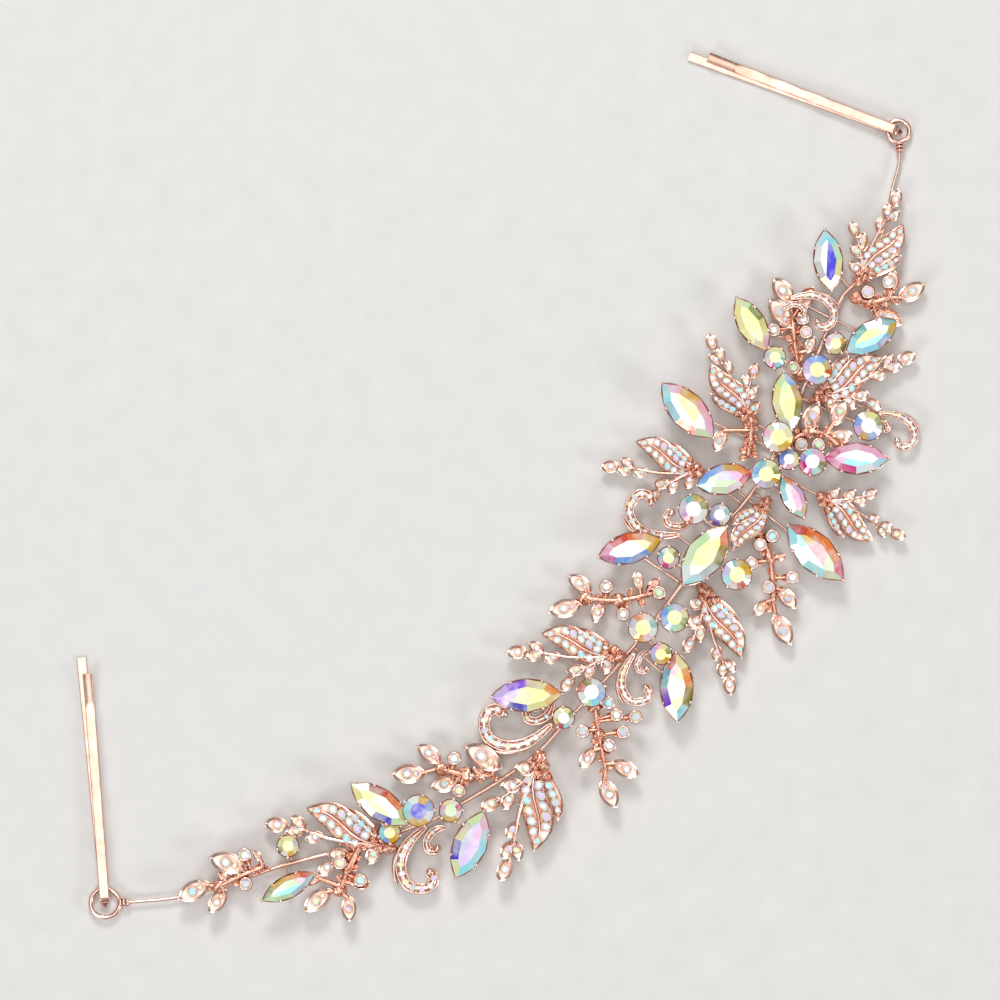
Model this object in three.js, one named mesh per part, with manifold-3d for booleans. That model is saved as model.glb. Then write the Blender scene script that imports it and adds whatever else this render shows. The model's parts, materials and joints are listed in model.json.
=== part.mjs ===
// A bridal hair vine: rose-gold castings and claw-set crystals soldered along one soft wire,
// which ends in a loop at each side with a bobby pin hooked through it.
// Millimetres. X runs from the left loop to the right loop, Y to the hollow side of the crescent,
// and Z up, away from the head. The origin is at the centre of the underside.
import * as THREE from "three";
import { mergeVertices } from "three/addons/utils/BufferGeometryUtils.js";
import Module from "manifold-3d";

const wasm = await Module();
wasm.setup();

// Heights
const GAP = 0.3; // clearance between separate pieces
const WIRE_R = 0.6;
const WIRE_Z = 1.1;
const ARM_Z = 0.6; // the side arms lie lower than the main wire and carry the vine's back
const PROP_FROM = 3; // a casting further than this from the wire gets an arm
const CASTING = 1.0; // thickness of a casting
const FIRST_LAYER = WIRE_Z + WIRE_R + GAP;
const LAYER_STEP = CASTING + GAP;
const layerZ = (layer) => FIRST_LAYER + layer * LAYER_STEP;

// Crystals and their cups
const SEAT = 0.5; // thickness of a cup's floor
const SEAT_SHARE = 0.64; // a cup's floor against its crystal's outline
const PEG_R = 0.55;
const GIRDLE = 0.5;
const NAVETTE_FULLNESS = 0.8; // below 1 the outline bulges more towards its points
const BEVEL = 0.85; // height of the faceted band above and below the girdle
const BEVEL_IN = 1.2;

// Bend joints in the wire, near each end, and the room they need
const BEND_GAP = 0.3;
const BEND_DROP = 0.1; // how far each side of the gap stands off the bend point in Y
const LEFT_BEND = [-82.5, -20.5];
const RIGHT_BEND = [82, -16.8];

// Bobby pins
const PIN_WIDTH = 2;
const PIN_STRIP = 0.45; // thickness of the flat spring wire
const PIN_RISE = WIRE_Z * 2; // outside height of the bend
const PIN_BEND_AT = 1; // from the loop's centre to the centre of the bend
const PIN_WAVE = 0.1; // half the height of a crimp in the upper leg
const PIN_WAVES = 3;
const PIN_WAVES_FROM = 0.3; // where the crimps start and end, in shares of the upper leg
const PIN_WAVES_TO = 0.8;
const PIN_TIP = 6.8; // length of the upper leg's upturned tip
const PIN_TIP_RISE = 1.2;
// Each leg's length from the loop's centre and its heading in degrees
const LEFT_PIN = { lower: [51.2, 51.4], upper: [47.8, 50.2] };
const RIGHT_PIN = { lower: [46.2, 116], upper: [42.4, 114.5] };

// The wire's route, from the left loop to the right one
const LEFT_LOOP = { x: -115, y: 0, radius: 3.05, wire: 0.38 };
const RIGHT_LOOP = { x: 115, y: 0, radius: 2.3, wire: 0.38 };
const TAIL = { length: 3, share: 1.25 }; // the winding behind a loop, its share of the wire's radius
const LEFT_ROUTE = [[-112.6, -2.4], [-110, -4.5], [-103, -10], [-93, -15.5], [-84, -19.7]];
const MIDDLE_ROUTE = [
  [-81, -21.4], [-71, -27], [-60, -32.5], [-53, -35.5], [-47, -37], [-38.5, -39], [-29.5, -40.3],
  [-22.5, -40], [-15, -39.6], [-5.5, -39], [4, -38], [13, -36.7], [23, -35], [30.5, -33.6],
  [38, -33], [45.5, -31.5], [54, -28.3], [62.5, -25], [72.5, -20.6], [80.4, -17.3],
];
const RIGHT_ROUTE = [
  [83.4, -16.3], [88, -16.3], [97.5, -13], [106, -7.5], [110.5, -4.8], [113.4, -1.8],
];

// Pointed-oval crystals: centre, heading, length, width and the layer that the cup stands on
const NAVETTES = [
  { at: [-85, -24], heading: 163, length: 12.5, width: 4.6, layer: 2 },
  { at: [-59.5, -25], heading: 101, length: 15, width: 6.3, layer: 2 },
  { at: [-52, -44], heading: 23, length: 15.3, width: 6.9, layer: 1 },
  { at: [-22, -30], heading: 138, length: 15, width: 6.8, layer: 1 },
  { at: [1.5, -50.5], heading: 47, length: 14.7, width: 6.9, layer: 1 },
  { at: [14.5, -23], heading: 151, length: 13.7, width: 6.3, layer: 1 },
  { at: [24.5, -35], heading: 9, length: 15.3, width: 7.6, layer: 3 },
  { at: [43, -11], heading: 89, length: 15.8, width: 7.2, layer: 2 },
  { at: [38.5, -26.5], heading: 149, length: 12, width: 6.2, layer: 2 },
  { at: [59, -24], heading: 52, length: 12.8, width: 6.2, layer: 2 },
  { at: [46, -39], heading: 74, length: 10, width: 4.6, layer: 2 },
  { at: [61, -42.5], heading: 135, length: 13.5, width: 6.4, layer: 1 },
  { at: [41.5, -50.5], heading: 91, length: 16.5, width: 7.6, layer: 1 },
  { at: [65, -7.5], heading: 76, length: 13, width: 5.7, layer: 1 },
  { at: [81, -26.5], heading: 168, length: 12.5, width: 6.2, layer: 1 },
  { at: [85.5, -9], heading: 52, length: 13, width: 6, layer: 1, body: "right_end" },
];

// Round crystals: centre, diameter and layer
const ROUNDS = [
  { at: [-54.5, -31.5], size: 6.4, layer: 3 },
  { at: [-12, -39], size: 5.8, layer: 2 },
  { at: [5, -36.8], size: 6, layer: 2 },
  { at: [11, -39.8], size: 5.8, layer: 3 },
  { at: [29.5, -26.5], size: 6, layer: 3 },
  { at: [26.5, -42.3], size: 6.2, layer: 2 },
  { at: [45.5, -31.5], size: 6, layer: 3 },
  { at: [52.5, -27.8], size: 6.2, layer: 4 },
  { at: [54, -36.7], size: 5.6, layer: 2 },
  { at: [67.5, -39.3], size: 6, layer: 1 },
  { at: [68, -23.5], size: 6, layer: 2 },
];

// Small round crystals, fused here with their cups: centre, diameter, layer
const SMALL_ROUNDS = [
  [-79.5, -18, 4.4, 0], [-50, -36.2, 4.6, 2], [-62.3, -30.6, 4.4, 1], [-19.7, -38.6, 4.4, 2],
  [4, -43.2, 4.4, 2], [32.8, -31.2, 4.4, 2], [19, -30, 4.4, 2], [50.8, -32.8, 4.2, 3],
  [63.5, -15.7, 4.4, 3], [74.5, -22.3, 4.4, 1],
];

// Leaf sprays: root, heading, length of the main leaf, the side of the fern (+1 left, 0 none) and
// layer. lobe says how far the side lobe stands off, and fernTurn how far the fern is bent outwards.
const SPRAYS = [
  { root: [-64.5, -33], heading: 111, length: 19.5, side: 1, lobe: 0.6, layer: 0 },
  { root: [-29, -41], heading: -138, length: 20, side: -1, layer: 1 },
  { root: [-2.5, -38], heading: 120, length: 17.5, side: 1, lobe: 0.6, layer: 0 },
  { root: [19.5, -39.5], heading: -105, length: 17, side: -1, lobe: 0.6, layer: 0 },
  { root: [36, -22.5], heading: 110, length: 15.5, side: 1, lobe: 0.6, fernTurn: 8, layer: 0 },
  { root: [51, -22], heading: 81, length: 15, side: -1, fernTurn: -5, layer: 1 },
  { root: [42, -36], heading: -169, length: 13, side: 0, layer: 1 },
  { root: [50.5, -43], heading: -84, length: 14.5, side: 1, layer: 0 },
  { root: [63.5, -28], heading: -12, length: 17, side: -1, fernTurn: -6, layer: 0 },
  { root: [87, -16.5], heading: 8, length: 15.5, side: 1, layer: 0, body: "right_end" },
];

// One leaf spray, in lengths of its main leaf: [u, v] along and to the fern's side
const MAIN_LEAF = { from: [0.06, 0], to: [1, 0], width: 0.33 };
const SIDE_LOBE = { from: [0.05, -0.05], to: [0.68, -0.25], width: 0.17 };
const FERN_STEMS = [
  [[0.15, 0.04], [0.5, 0.17], [0.85, 0.2], [1.12, 0.25]],
  [[0.15, 0.04], [0.34, 0.2], [0.5, 0.42]],
];
const LEAFLETS = [
  [0.7, 0.18, 0.85, 0.28], [0.9, 0.2, 1.08, 0.14], [0.9, 0.21, 1.07, 0.31],
  [1.09, 0.24, 1.3, 0.32], [0.3, 0.16, 0.33, 0.37], [0.38, 0.25, 0.56, 0.33],
  [0.47, 0.38, 0.57, 0.56], [0.12, 0.03, 0.14, 0.24],
];
const LEAFLET_WIDTH = 0.11;
const STEM_WIDTH = 0.05;
const SPRAY_ROOT = { to: [0.3, 0], width: 0.16 };

// A leaf's outline from its base to its tip: [share of its length, share of its width] on one side
const LEAF_SIDE = [[0, 0.25], [0.35, 1], [0.75, 0.72]];
const LEAFLET_SIDE = [[0, 0.3], [0.45, 1]];

// Scrolls: root, heading, length, hand and layer
const SCROLLS = [
  { root: [-56.5, -35], heading: -137, length: 13, side: 1, layer: 0 },
  { root: [-23, -38], heading: 132, length: 14, side: -1, layer: 0 },
  { root: [-0.5, -39.5], heading: -123, length: 10, side: 1, layer: 1 },
  { root: [23.5, -28], heading: 95, length: 12, side: -1, layer: 1 },
  { root: [71.5, -39.5], heading: -93, length: 9, side: -1, layer: 0 },
  { root: [75, -9.5], heading: -78, length: 9.7, side: -1, layer: 1 },
];

// One scroll, in lengths of the whole: its ribbons with their widths, and the two round ends
const SCROLL_RIBBONS = [
  {
    line: [
      [0, 0], [0.16, -0.16], [0.36, -0.3], [0.58, -0.35], [0.78, -0.31], [0.93, -0.2],
      [0.98, -0.02], [0.94, 0.13], [0.8, 0.19],
    ],
    width: 0.13,
    steps: 10,
  },
  {
    line: [[-0.02, 0.3], [0.04, 0.14], [0.2, 0.04], [0.32, 0.08], [0.35, 0.18]],
    width: 0.09,
    steps: 4,
  },
  {
    line: [[0.12, -0.14], [0.3, -0.32], [0.57, -0.43], [0.78, -0.42], [0.93, -0.36]],
    width: 0.07,
    steps: 4,
  },
  { line: [[0.04, -0.08], [0.2, -0.22]], width: 0.2, steps: 1 },
  { line: [[0.02, -0.04], [0.1, 0.12]], width: 0.12, steps: 1 },
];
const SCROLL_BALLS = [
  { at: [0.72, 0.11], radius: 0.09 },
  { at: [0.33, 0.21], radius: 0.08 },
];

// Bead sprigs, each cast in its own pose: leaves and plain leaflets as [base x, y, tip x, y]
const SPRIGS = [
  {
    layer: 1, body: "left_end",
    leaves: [[-96.5, -12, -103, -10], [-95, -15.5, -100.5, -16.5], [-89, -15, -92.5, -8.5]],
    leaflets: [[-93.5, -15, -93.5, -11.5], [-85.5, -16.5, -85, -13.5]],
    beads: [[-91, -17.5], [-87, -13]],
    stem: [[-95.5, -14], [-91, -15.5], [-86, -17.5]],
  },
  {
    layer: 1,
    leaves: [[-79.5, -30.5, -86, -30], [-77.5, -34, -81, -38], [-79, -27.5, -82.5, -25]],
    leaflets: [[-75.5, -33, -72, -35.5]],
    beads: [[-73.5, -33.5], [-74, -28]],
    stem: [[-78, -32], [-73.5, -30], [-69, -28.5]],
  },
  {
    layer: 0,
    leaves: [
      [-44.5, -27.5, -45.5, -22], [-48.5, -27, -53.5, -22.5],
      [-44.5, -33, -49.5, -30], [-36.5, -37, -38.5, -29],
    ],
    leaflets: [[-40.5, -36.5, -40, -32.5]],
    beads: [[-42, -29], [-46, -34.5]],
    stem: [[-45.5, -28.5], [-42.5, -33.5], [-39, -37]],
  },
  {
    layer: 1,
    leaves: [[-19.5, -48, -24.5, -48.5], [-19, -52.5, -17, -58], [-23, -53.5, -25, -59.5]],
    leaflets: [[-18, -48, -19, -45.5]],
    beads: [[-19, -43.5], [-11, -43], [-11.5, -46], [-9, -49], [-13, -49.5], [-17, -49.5]],
    stem: [[-13.5, -41.5], [-17, -46.5], [-21, -52.5]],
  },
  {
    layer: 0,
    leaves: [
      [2.5, -24, 1.5, -18.5], [-1, -24.5, -6.5, -21], [3, -27, -1.5, -29], [10, -31, 12, -27.5],
    ],
    leaflets: [[11, -32, 15, -32]],
    beads: [[5.5, -25.5], [4, -32], [12.5, -34]],
    stem: [[0.5, -24], [5.5, -29.5], [12, -33.5]],
  },
  {
    layer: 0,
    leaves: [[31, -50.5, 30.5, -56], [27.5, -51, 23.5, -51], [26.5, -54, 24.5, -60.5]],
    leaflets: [[34.5, -45.5, 37, -47]],
    beads: [[37.5, -42], [34.5, -41.5], [30.5, -43], [34.5, -51], [29.5, -49]],
    stem: [[36, -39.5], [34, -45], [28, -52]],
  },
  {
    layer: 1,
    leaves: [[57.5, -31, 63.5, -29], [60, -35, 64, -38.5], [62.5, -34, 68, -32.5]],
    leaflets: [[59, -32, 62, -30.5]],
    beads: [[57.5, -35], [55, -32.5]],
    stem: [[54, -30.5], [57.5, -31.5], [60, -34], [60.5, -38.5]],
  },
  {
    layer: 0,
    leaves: [
      [74, -10.5, 75, -4], [70.5, -13.5, 71.5, -6.5], [74, -12, 79.5, -11], [69, -19.5, 72.5, -18.5],
    ],
    leaflets: [[68, -16, 70, -17.5]],
    beads: [[67.5, -11.5], [73.5, -14], [72, -16.5], [65, -20]],
    stem: [[65, -22], [68, -17.5], [72, -12.5]],
  },
  {
    layer: 0, body: "right_end",
    leaves: [[90.5, -23, 94, -20], [90.5, -25, 96.5, -26.5], [85, -23, 87.5, -29]],
    leaflets: [[88, -22.5, 87, -25.5]],
    beads: [[87, -19.5], [91.5, -21]],
    stem: [[84.5, -18.5], [86, -21.5], [89.5, -23.5]],
  },
];
const SPRIG_LEAF_SHARE = 0.42; // width of a sprig's leaf against its length
const TWIG = 0.8;
const BEAD_R = 1.25;
const KNOT_R = 1.2;
const TWIG_OVERLAP = 0.1; // how far a twig runs into its leaf, in shares of the leaf

const MATERIALS = {
  metal: { color: "#d99a80", roughness: 0.28, metalness: 1 },
  pin: { color: "#e0a891", roughness: 0.2, metalness: 1 },
  crystal: { color: "#e9e6f2", roughness: 0.05, metalness: 0.2 },
};

// ---- solids ----

function solid(geometry) {
  const bare = geometry.index ? geometry.toNonIndexed() : geometry.clone();
  bare.deleteAttribute("normal");
  bare.deleteAttribute("uv");
  const merged = mergeVertices(bare, 1e-3);
  return new wasm.Manifold(
    new wasm.Mesh({
      numProp: 3,
      vertProperties: merged.attributes.position.array,
      triVerts: new Uint32Array(merged.index.array),
    }),
  );
}

const joined = (solids) => solids.reduce((whole, next) => whole.add(next));

function prism(outline, z0, z1) {
  const shape = new THREE.Shape(outline.map(([x, y]) => new THREE.Vector2(x, y)));
  const geometry = new THREE.ExtrudeGeometry(shape, { depth: z1 - z0, bevelEnabled: false });
  return solid(geometry.translate(0, 0, z0));
}

function rod(x, y, radius, z0, z1, sides = 6) {
  const geometry = new THREE.CylinderGeometry(radius, radius, z1 - z0, sides).rotateX(Math.PI / 2);
  return solid(geometry.translate(x, y, (z0 + z1) / 2));
}

function tube(points, radius, steps, sides = 8) {
  const section = new THREE.Shape();
  section.absarc(0, 0, radius, 0, Math.PI * 2);
  const extrudePath = new THREE.CatmullRomCurve3(points.map((p) => new THREE.Vector3(...p)));
  return solid(new THREE.ExtrudeGeometry(section, { extrudePath, steps, curveSegments: sides / 2 }));
}

// A leaf's outline between two points.
function leaf([x0, y0], [x1, y1], width, side = LEAF_SIDE) {
  const along = [x1 - x0, y1 - y0];
  const length = Math.hypot(...along);
  const across = [-along[1] / length, along[0] / length];
  const edge = (sign) =>
    side.map(([t, w]) => [
      x0 + along[0] * t + (sign * across[0] * w * width) / 2,
      y0 + along[1] * t + (sign * across[1] * w * width) / 2,
    ]);
  return [...edge(1), [x1, y1], ...edge(-1).reverse()];
}

// A flat strip of one width along a smooth line through the points.
function ribbon(points, width, steps) {
  const line = new THREE.SplineCurve(points.map(([x, y]) => new THREE.Vector2(x, y)));
  const edge = (sign) =>
    Array.from({ length: steps + 1 }, (_, i) => {
      const at = line.getPoint(i / steps);
      const t = line.getTangent(i / steps);
      return [at.x - (sign * t.y * width) / 2, at.y + (sign * t.x * width) / 2];
    });
  return [...edge(1), ...edge(-1).reverse()];
}

// Turns a casting's own [u, v] into place.
function placed({ root, heading, length, side = 1 }) {
  const turn = THREE.MathUtils.degToRad(heading);
  const hand = side < 0 ? -1 : 1;
  return ([u, v]) => [
    root[0] + length * (u * Math.cos(turn) - hand * v * Math.sin(turn)),
    root[1] + length * (u * Math.sin(turn) + hand * v * Math.cos(turn)),
  ];
}

// ---- castings ----

function leafSpray(spray) {
  const at = placed(spray);
  const size = spray.length;
  const { lobe = 1, fernTurn = 0 } = spray;
  const turn = THREE.MathUtils.degToRad(fernTurn);
  const fern = ([u, v]) =>
    at([u * Math.cos(turn) - v * Math.sin(turn), u * Math.sin(turn) + v * Math.cos(turn)]);
  const lobeTip = [SIDE_LOBE.to[0], SIDE_LOBE.to[1] * lobe];
  const outlines = [
    leaf(at(MAIN_LEAF.from), at(MAIN_LEAF.to), MAIN_LEAF.width * size),
    leaf(at(SIDE_LOBE.from), at(lobeTip), SIDE_LOBE.width * size),
    ribbon([[0, 0], SPRAY_ROOT.to].map(at), SPRAY_ROOT.width * size, 1),
  ];
  if (spray.side !== 0) {
    FERN_STEMS.forEach((stem) => outlines.push(ribbon(stem.map(fern), STEM_WIDTH * size, 3)));
    LEAFLETS.forEach(([u0, v0, u1, v1]) =>
      outlines.push(leaf(fern([u0, v0]), fern([u1, v1]), LEAFLET_WIDTH * size, LEAFLET_SIDE)),
    );
  }
  const z0 = layerZ(spray.layer);
  return joined(outlines.map((outline) => prism(outline, z0, z0 + CASTING)));
}

function scroll(piece) {
  const at = placed(piece);
  const size = piece.length;
  const z0 = layerZ(piece.layer);
  const z1 = z0 + CASTING;
  const bands = SCROLL_RIBBONS.map(({ line, width, steps }) =>
    prism(ribbon(line.map(at), width * size, steps), z0, z1),
  );
  const balls = SCROLL_BALLS.map((ball) => rod(...at(ball.at), ball.radius * size, z0, z1));
  return joined([...bands, ...balls]);
}

function nearest(line, [x, y]) {
  const points = new THREE.SplineCurve(line.map(([a, b]) => new THREE.Vector2(a, b))).getPoints(24);
  return points
    .map((p) => [p.x, p.y])
    .reduce((a, b) => (Math.hypot(b[0] - x, b[1] - y) < Math.hypot(a[0] - x, a[1] - y) ? b : a));
}

function beadSprig(sprig) {
  const z0 = layerZ(sprig.layer);
  const z1 = z0 + CASTING;
  const parts = [prism(ribbon(sprig.stem, TWIG, 3), z0, z1), rod(...sprig.stem[0], KNOT_R, z0, z1)];
  const twig = (to) => prism(ribbon([nearest(sprig.stem, to), to], TWIG, 1), z0, z1);
  [...sprig.leaves, ...sprig.leaflets].forEach(([x0, y0, x1, y1]) => {
    const width = SPRIG_LEAF_SHARE * Math.hypot(x1 - x0, y1 - y0);
    parts.push(prism(leaf([x0, y0], [x1, y1], width, LEAFLET_SIDE), z0, z1));
    parts.push(twig([x0 + (x1 - x0) * TWIG_OVERLAP, y0 + (y1 - y0) * TWIG_OVERLAP]));
  });
  sprig.beads.forEach((bead) => {
    parts.push(rod(...bead, BEAD_R, z0, z1));
    parts.push(twig(bead));
  });
  return joined(parts);
}

// ---- crystals ----

function navetteOutline(length, width, steps = 4) {
  const edge = Array.from({ length: steps }, (_, i) => {
    const t = i / steps;
    return [length * (t - 0.5), (width / 2) * Math.sin(Math.PI * t) ** NAVETTE_FULLNESS];
  });
  return [...edge, ...edge.map(([x, y]) => [-x, -y])];
}

function onto(geometry, [x, y], heading, z) {
  return geometry.rotateZ(THREE.MathUtils.degToRad(heading)).translate(x, y, z);
}

function navette({ at, heading, length, width, layer }) {
  const outline = navetteOutline(length, width).map(([x, y]) => new THREE.Vector2(x, y));
  const geometry = new THREE.ExtrudeGeometry(new THREE.Shape(outline), {
    depth: GIRDLE,
    bevelThickness: BEVEL,
    bevelSize: BEVEL_IN,
    bevelOffset: -BEVEL_IN,
    bevelSegments: 1,
  });
  return solid(onto(geometry, at, heading, layerZ(layer) + SEAT + GAP + BEVEL));
}

function navetteSeat({ at, heading, length, width, layer }) {
  const outline = navetteOutline(length * SEAT_SHARE, width * SEAT_SHARE, 3);
  const shape = new THREE.Shape(outline.map(([x, y]) => new THREE.Vector2(x, y)));
  const geometry = new THREE.ExtrudeGeometry(shape, { depth: SEAT, bevelEnabled: false });
  return solid(onto(geometry, at, heading, layerZ(layer)));
}

function roundCrystal({ at, size, layer }) {
  const r = size / 2;
  const top = BEVEL * 2 + GIRDLE;
  const profile = [
    [0, 0], [r - BEVEL_IN, 0], [r, BEVEL], [r, BEVEL + GIRDLE], [r - BEVEL_IN, top], [0, top],
  ];
  const geometry = new THREE.LatheGeometry(profile.map(([x, y]) => new THREE.Vector2(x, y)), 8);
  return solid(geometry.rotateX(Math.PI / 2).translate(...at, layerZ(layer) + SEAT + GAP));
}

// ---- the wire, its loops and the pins ----

const wirePoints = (route) => route.map(([x, y]) => [x, y, WIRE_Z]);

function loopRing({ x, y, radius, wire }) {
  return solid(new THREE.TorusGeometry(radius, wire, 6, 20).translate(x, y, WIRE_Z));
}

// The loop's tail is wound once round the wire behind it.
function loopTail({ x, y, radius }, [x1, y1]) {
  const reach = Math.hypot(x1 - x, y1 - y);
  const point = (distance) => [
    x + ((x1 - x) / reach) * distance,
    y + ((y1 - y) / reach) * distance,
    WIRE_Z,
  ];
  return tube([point(radius), point(radius + TAIL.length)], WIRE_R * TAIL.share, 1);
}

// A side view of the lower leg and bend, [distance from the loop's centre, height].
function pinLowerLeg(length) {
  const middle = PIN_RISE / 2;
  const arc = (radius, from, to, steps = 8) =>
    Array.from({ length: steps + 1 }, (_, i) => {
      const angle = from + ((to - from) * i) / steps;
      return [PIN_BEND_AT + radius * Math.cos(angle), middle + radius * Math.sin(angle)];
    });
  return [
    [length, 0],
    [length, PIN_STRIP],
    ...arc(middle - PIN_STRIP, -Math.PI / 2, -Math.PI * 1.5),
    ...arc(middle, -Math.PI * 1.5, -Math.PI / 2),
  ];
}

// The upper leg runs down to the lower one with a few shallow crimps, and turns up at its tip.
function pinUpperLeg(length, steps = 32) {
  const start = PIN_BEND_AT + GAP;
  const low = PIN_STRIP + GAP;
  const height = (t) => {
    const slope = THREE.MathUtils.lerp(PIN_RISE - PIN_STRIP, low, Math.min(1, t * 1.2));
    const crimped = (t - PIN_WAVES_FROM) / (PIN_WAVES_TO - PIN_WAVES_FROM);
    const isCrimped = crimped > 0 && crimped < 1;
    const wave = isCrimped ? PIN_WAVE * (1 - Math.cos(crimped * 2 * Math.PI * PIN_WAVES)) : 0;
    const tip = Math.max(0, 1 - ((1 - t) * (length - start)) / PIN_TIP);
    return slope + wave + PIN_TIP_RISE * tip;
  };
  const underside = Array.from({ length: steps + 1 }, (_, i) => {
    const t = i / steps;
    return [start + (length - start) * t, height(t)];
  });
  return [...underside, ...underside.map(([s, z]) => [s, z + PIN_STRIP]).reverse()];
}

function pinStrip(sideView, { x, y }, heading) {
  const shape = new THREE.Shape(sideView.map(([s, z]) => new THREE.Vector2(s, z)));
  const geometry = new THREE.ExtrudeGeometry(shape, { depth: PIN_WIDTH, bevelEnabled: false });
  geometry.translate(0, 0, -PIN_WIDTH / 2).rotateX(Math.PI / 2);
  return solid(onto(geometry, [x, y], heading, 0));
}

// ---- assembly ----

const number = (i) => String(i + 1).padStart(2, "0");
const pieces = new Map();

const addPiece = (name, solidBody, colour, more = {}) =>
  pieces.set(name, { solid: solidBody, colour, ...more });

const leftOfBend = ([x, y], drop) => [x - BEND_GAP, y + drop];
const rightOfBend = ([x, y], drop) => [x + BEND_GAP, y + drop];
const leftWire = joined([
  tube(wirePoints([...LEFT_ROUTE, leftOfBend(LEFT_BEND, BEND_DROP)]), WIRE_R, 12, 6),
  loopRing(LEFT_LOOP),
  loopTail(LEFT_LOOP, LEFT_ROUTE[0]),
]);
const rightWire = joined([
  tube(wirePoints([rightOfBend(RIGHT_BEND, BEND_DROP), ...RIGHT_ROUTE]), WIRE_R, 12, 6),
  loopRing(RIGHT_LOOP),
  loopTail(RIGHT_LOOP, RIGHT_ROUTE.at(-1)),
]);
const middleRoute = [
  rightOfBend(LEFT_BEND, -BEND_DROP),
  ...MIDDLE_ROUTE,
  leftOfBend(RIGHT_BEND, -BEND_DROP),
];
const WIRE_LAYER = -1; // below every casting
addPiece("base_wire", tube(wirePoints(middleRoute), WIRE_R, 48, 6), "metal", { layer: WIRE_LAYER });
addPiece("left_end_wire", leftWire, "metal", { layer: WIRE_LAYER, body: "left_end" });
addPiece("right_end_wire", rightWire, "metal", { layer: WIRE_LAYER, body: "right_end" });
for (const [kind, layouts, build] of [
  ["leaf_spray_", SPRAYS, leafSpray],
  ["scroll_", SCROLLS, scroll],
  ["bead_sprig_", SPRIGS, beadSprig],
]) {
  layouts.forEach((layout, i) => addPiece(kind + number(i), build(layout), "metal", layout));
}

// An arm from the wire with a peg at its end, for what stands off the wire.
const armTo = (route, [x, y], top) =>
  joined([
    tube([[...nearest(route, [x, y]), ARM_Z], [x, y, ARM_Z]], PEG_R, 1, 6),
    rod(x, y, PEG_R, ARM_Z, top, 6),
  ]);

// A casting whose root stands off the wire rests on an arm of its own.
[...SPRAYS, ...SCROLLS].forEach(({ root, layer }) => {
  const [x, y] = nearest(MIDDLE_ROUTE, root);
  const wire = pieces.get("base_wire");
  const prop = armTo(MIDDLE_ROUTE, root, layerZ(layer) - GAP);
  const isOff = Math.hypot(root[0] - x, root[1] - y) > PROP_FROM;
  const isClear = [...pieces.values()].every(
    (piece) => piece === wire || piece.solid.intersect(prop).volume() === 0,
  );
  if (isOff && isClear) wire.solid = joined([wire.solid, prop]);
});

// A cup is soldered to the highest piece of its own body under its peg, or on an arm from the wire.
function solder([x, y], layer, body, seat) {
  const z = layerZ(layer);
  const peg = rod(x, y, PEG_R, WIRE_Z, z + SEAT / 2, 6);
  const below = [...pieces.values()].filter(
    (piece) => piece.layer < layer && piece.solid.intersect(peg).volume() > 0,
  );
  const carrier = below.sort((a, b) => b.layer - a.layer)[0];
  if (carrier) {
    const from = carrier.layer < 0 ? WIRE_Z : layerZ(carrier.layer) + CASTING / 2;
    carrier.solid = joined([carrier.solid, rod(x, y, PEG_R, from, z + SEAT / 2, 6), seat]);
    return;
  }
  const wire = pieces.get(body ? body + "_wire" : "base_wire");
  const route = body === "right_end" ? RIGHT_ROUTE : MIDDLE_ROUTE;
  wire.solid = joined([wire.solid, armTo(route, [x, y], z + SEAT / 2), seat]);
}

NAVETTES.forEach((stone, i) => {
  solder(stone.at, stone.layer, stone.body, navetteSeat(stone));
  addPiece("navette_crystal_" + number(i), navette(stone), "crystal", { layer: Infinity });
});
ROUNDS.forEach((stone, i) => {
  const z = layerZ(stone.layer);
  const seat = rod(...stone.at, (stone.size / 2) * SEAT_SHARE, z, z + SEAT, 8);
  solder(stone.at, stone.layer, stone.body, seat);
  addPiece("round_crystal_" + number(i), roundCrystal(stone), "crystal", { layer: Infinity });
});
SMALL_ROUNDS.forEach(([x, y, size, layer]) => {
  const z = layerZ(layer);
  solder([x, y], layer, undefined, rod(x, y, size / 2, z, z + SEAT + BEVEL * 2, 8));
});

for (const [side, loop, { lower, upper }] of [
  ["left", LEFT_LOOP, LEFT_PIN],
  ["right", RIGHT_LOOP, RIGHT_PIN],
]) {
  const lowerLeg = pinStrip(pinLowerLeg(lower[0]), loop, lower[1]);
  const upperLeg = pinStrip(pinUpperLeg(upper[0]), loop, upper[1]);
  addPiece(side + "_pin_lower_leg", lowerLeg, "pin");
  addPiece(side + "_pin_upper_leg", upperLeg, "pin");
}

const vine = new THREE.Group();
for (const [name, { solid: body, colour }] of pieces) {
  const mesh = body.getMesh();
  const geometry = new THREE.BufferGeometry();
  geometry.setAttribute("position", new THREE.BufferAttribute(mesh.vertProperties, 3));
  geometry.setIndex(new THREE.BufferAttribute(mesh.triVerts, 1));
  const piece = new THREE.Mesh(geometry, new THREE.MeshStandardMaterial(MATERIALS[colour]));
  piece.name = name;
  vine.add(piece);
}

// The origin goes to the centre of the box, at its underside.
const box = new THREE.Box3().setFromObject(vine);
const centre = box.getCenter(new THREE.Vector3());
vine.position.set(-centre.x, -centre.y, -box.min.z);

export default vine;
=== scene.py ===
# %% [markdown]
# # A bridal hair vine
# A hair vine is a soft wire with cast leaves, scrolls and set crystals soldered along it. This
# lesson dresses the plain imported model: every casting is built again with its rims, ribs and
# stones, and every crystal is cut with real facets.
# All sizes are in metres; MM turns the maker's millimetres into them.

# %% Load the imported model
import json
import math
import random

import bpy
from mathutils import Matrix, Vector


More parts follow.
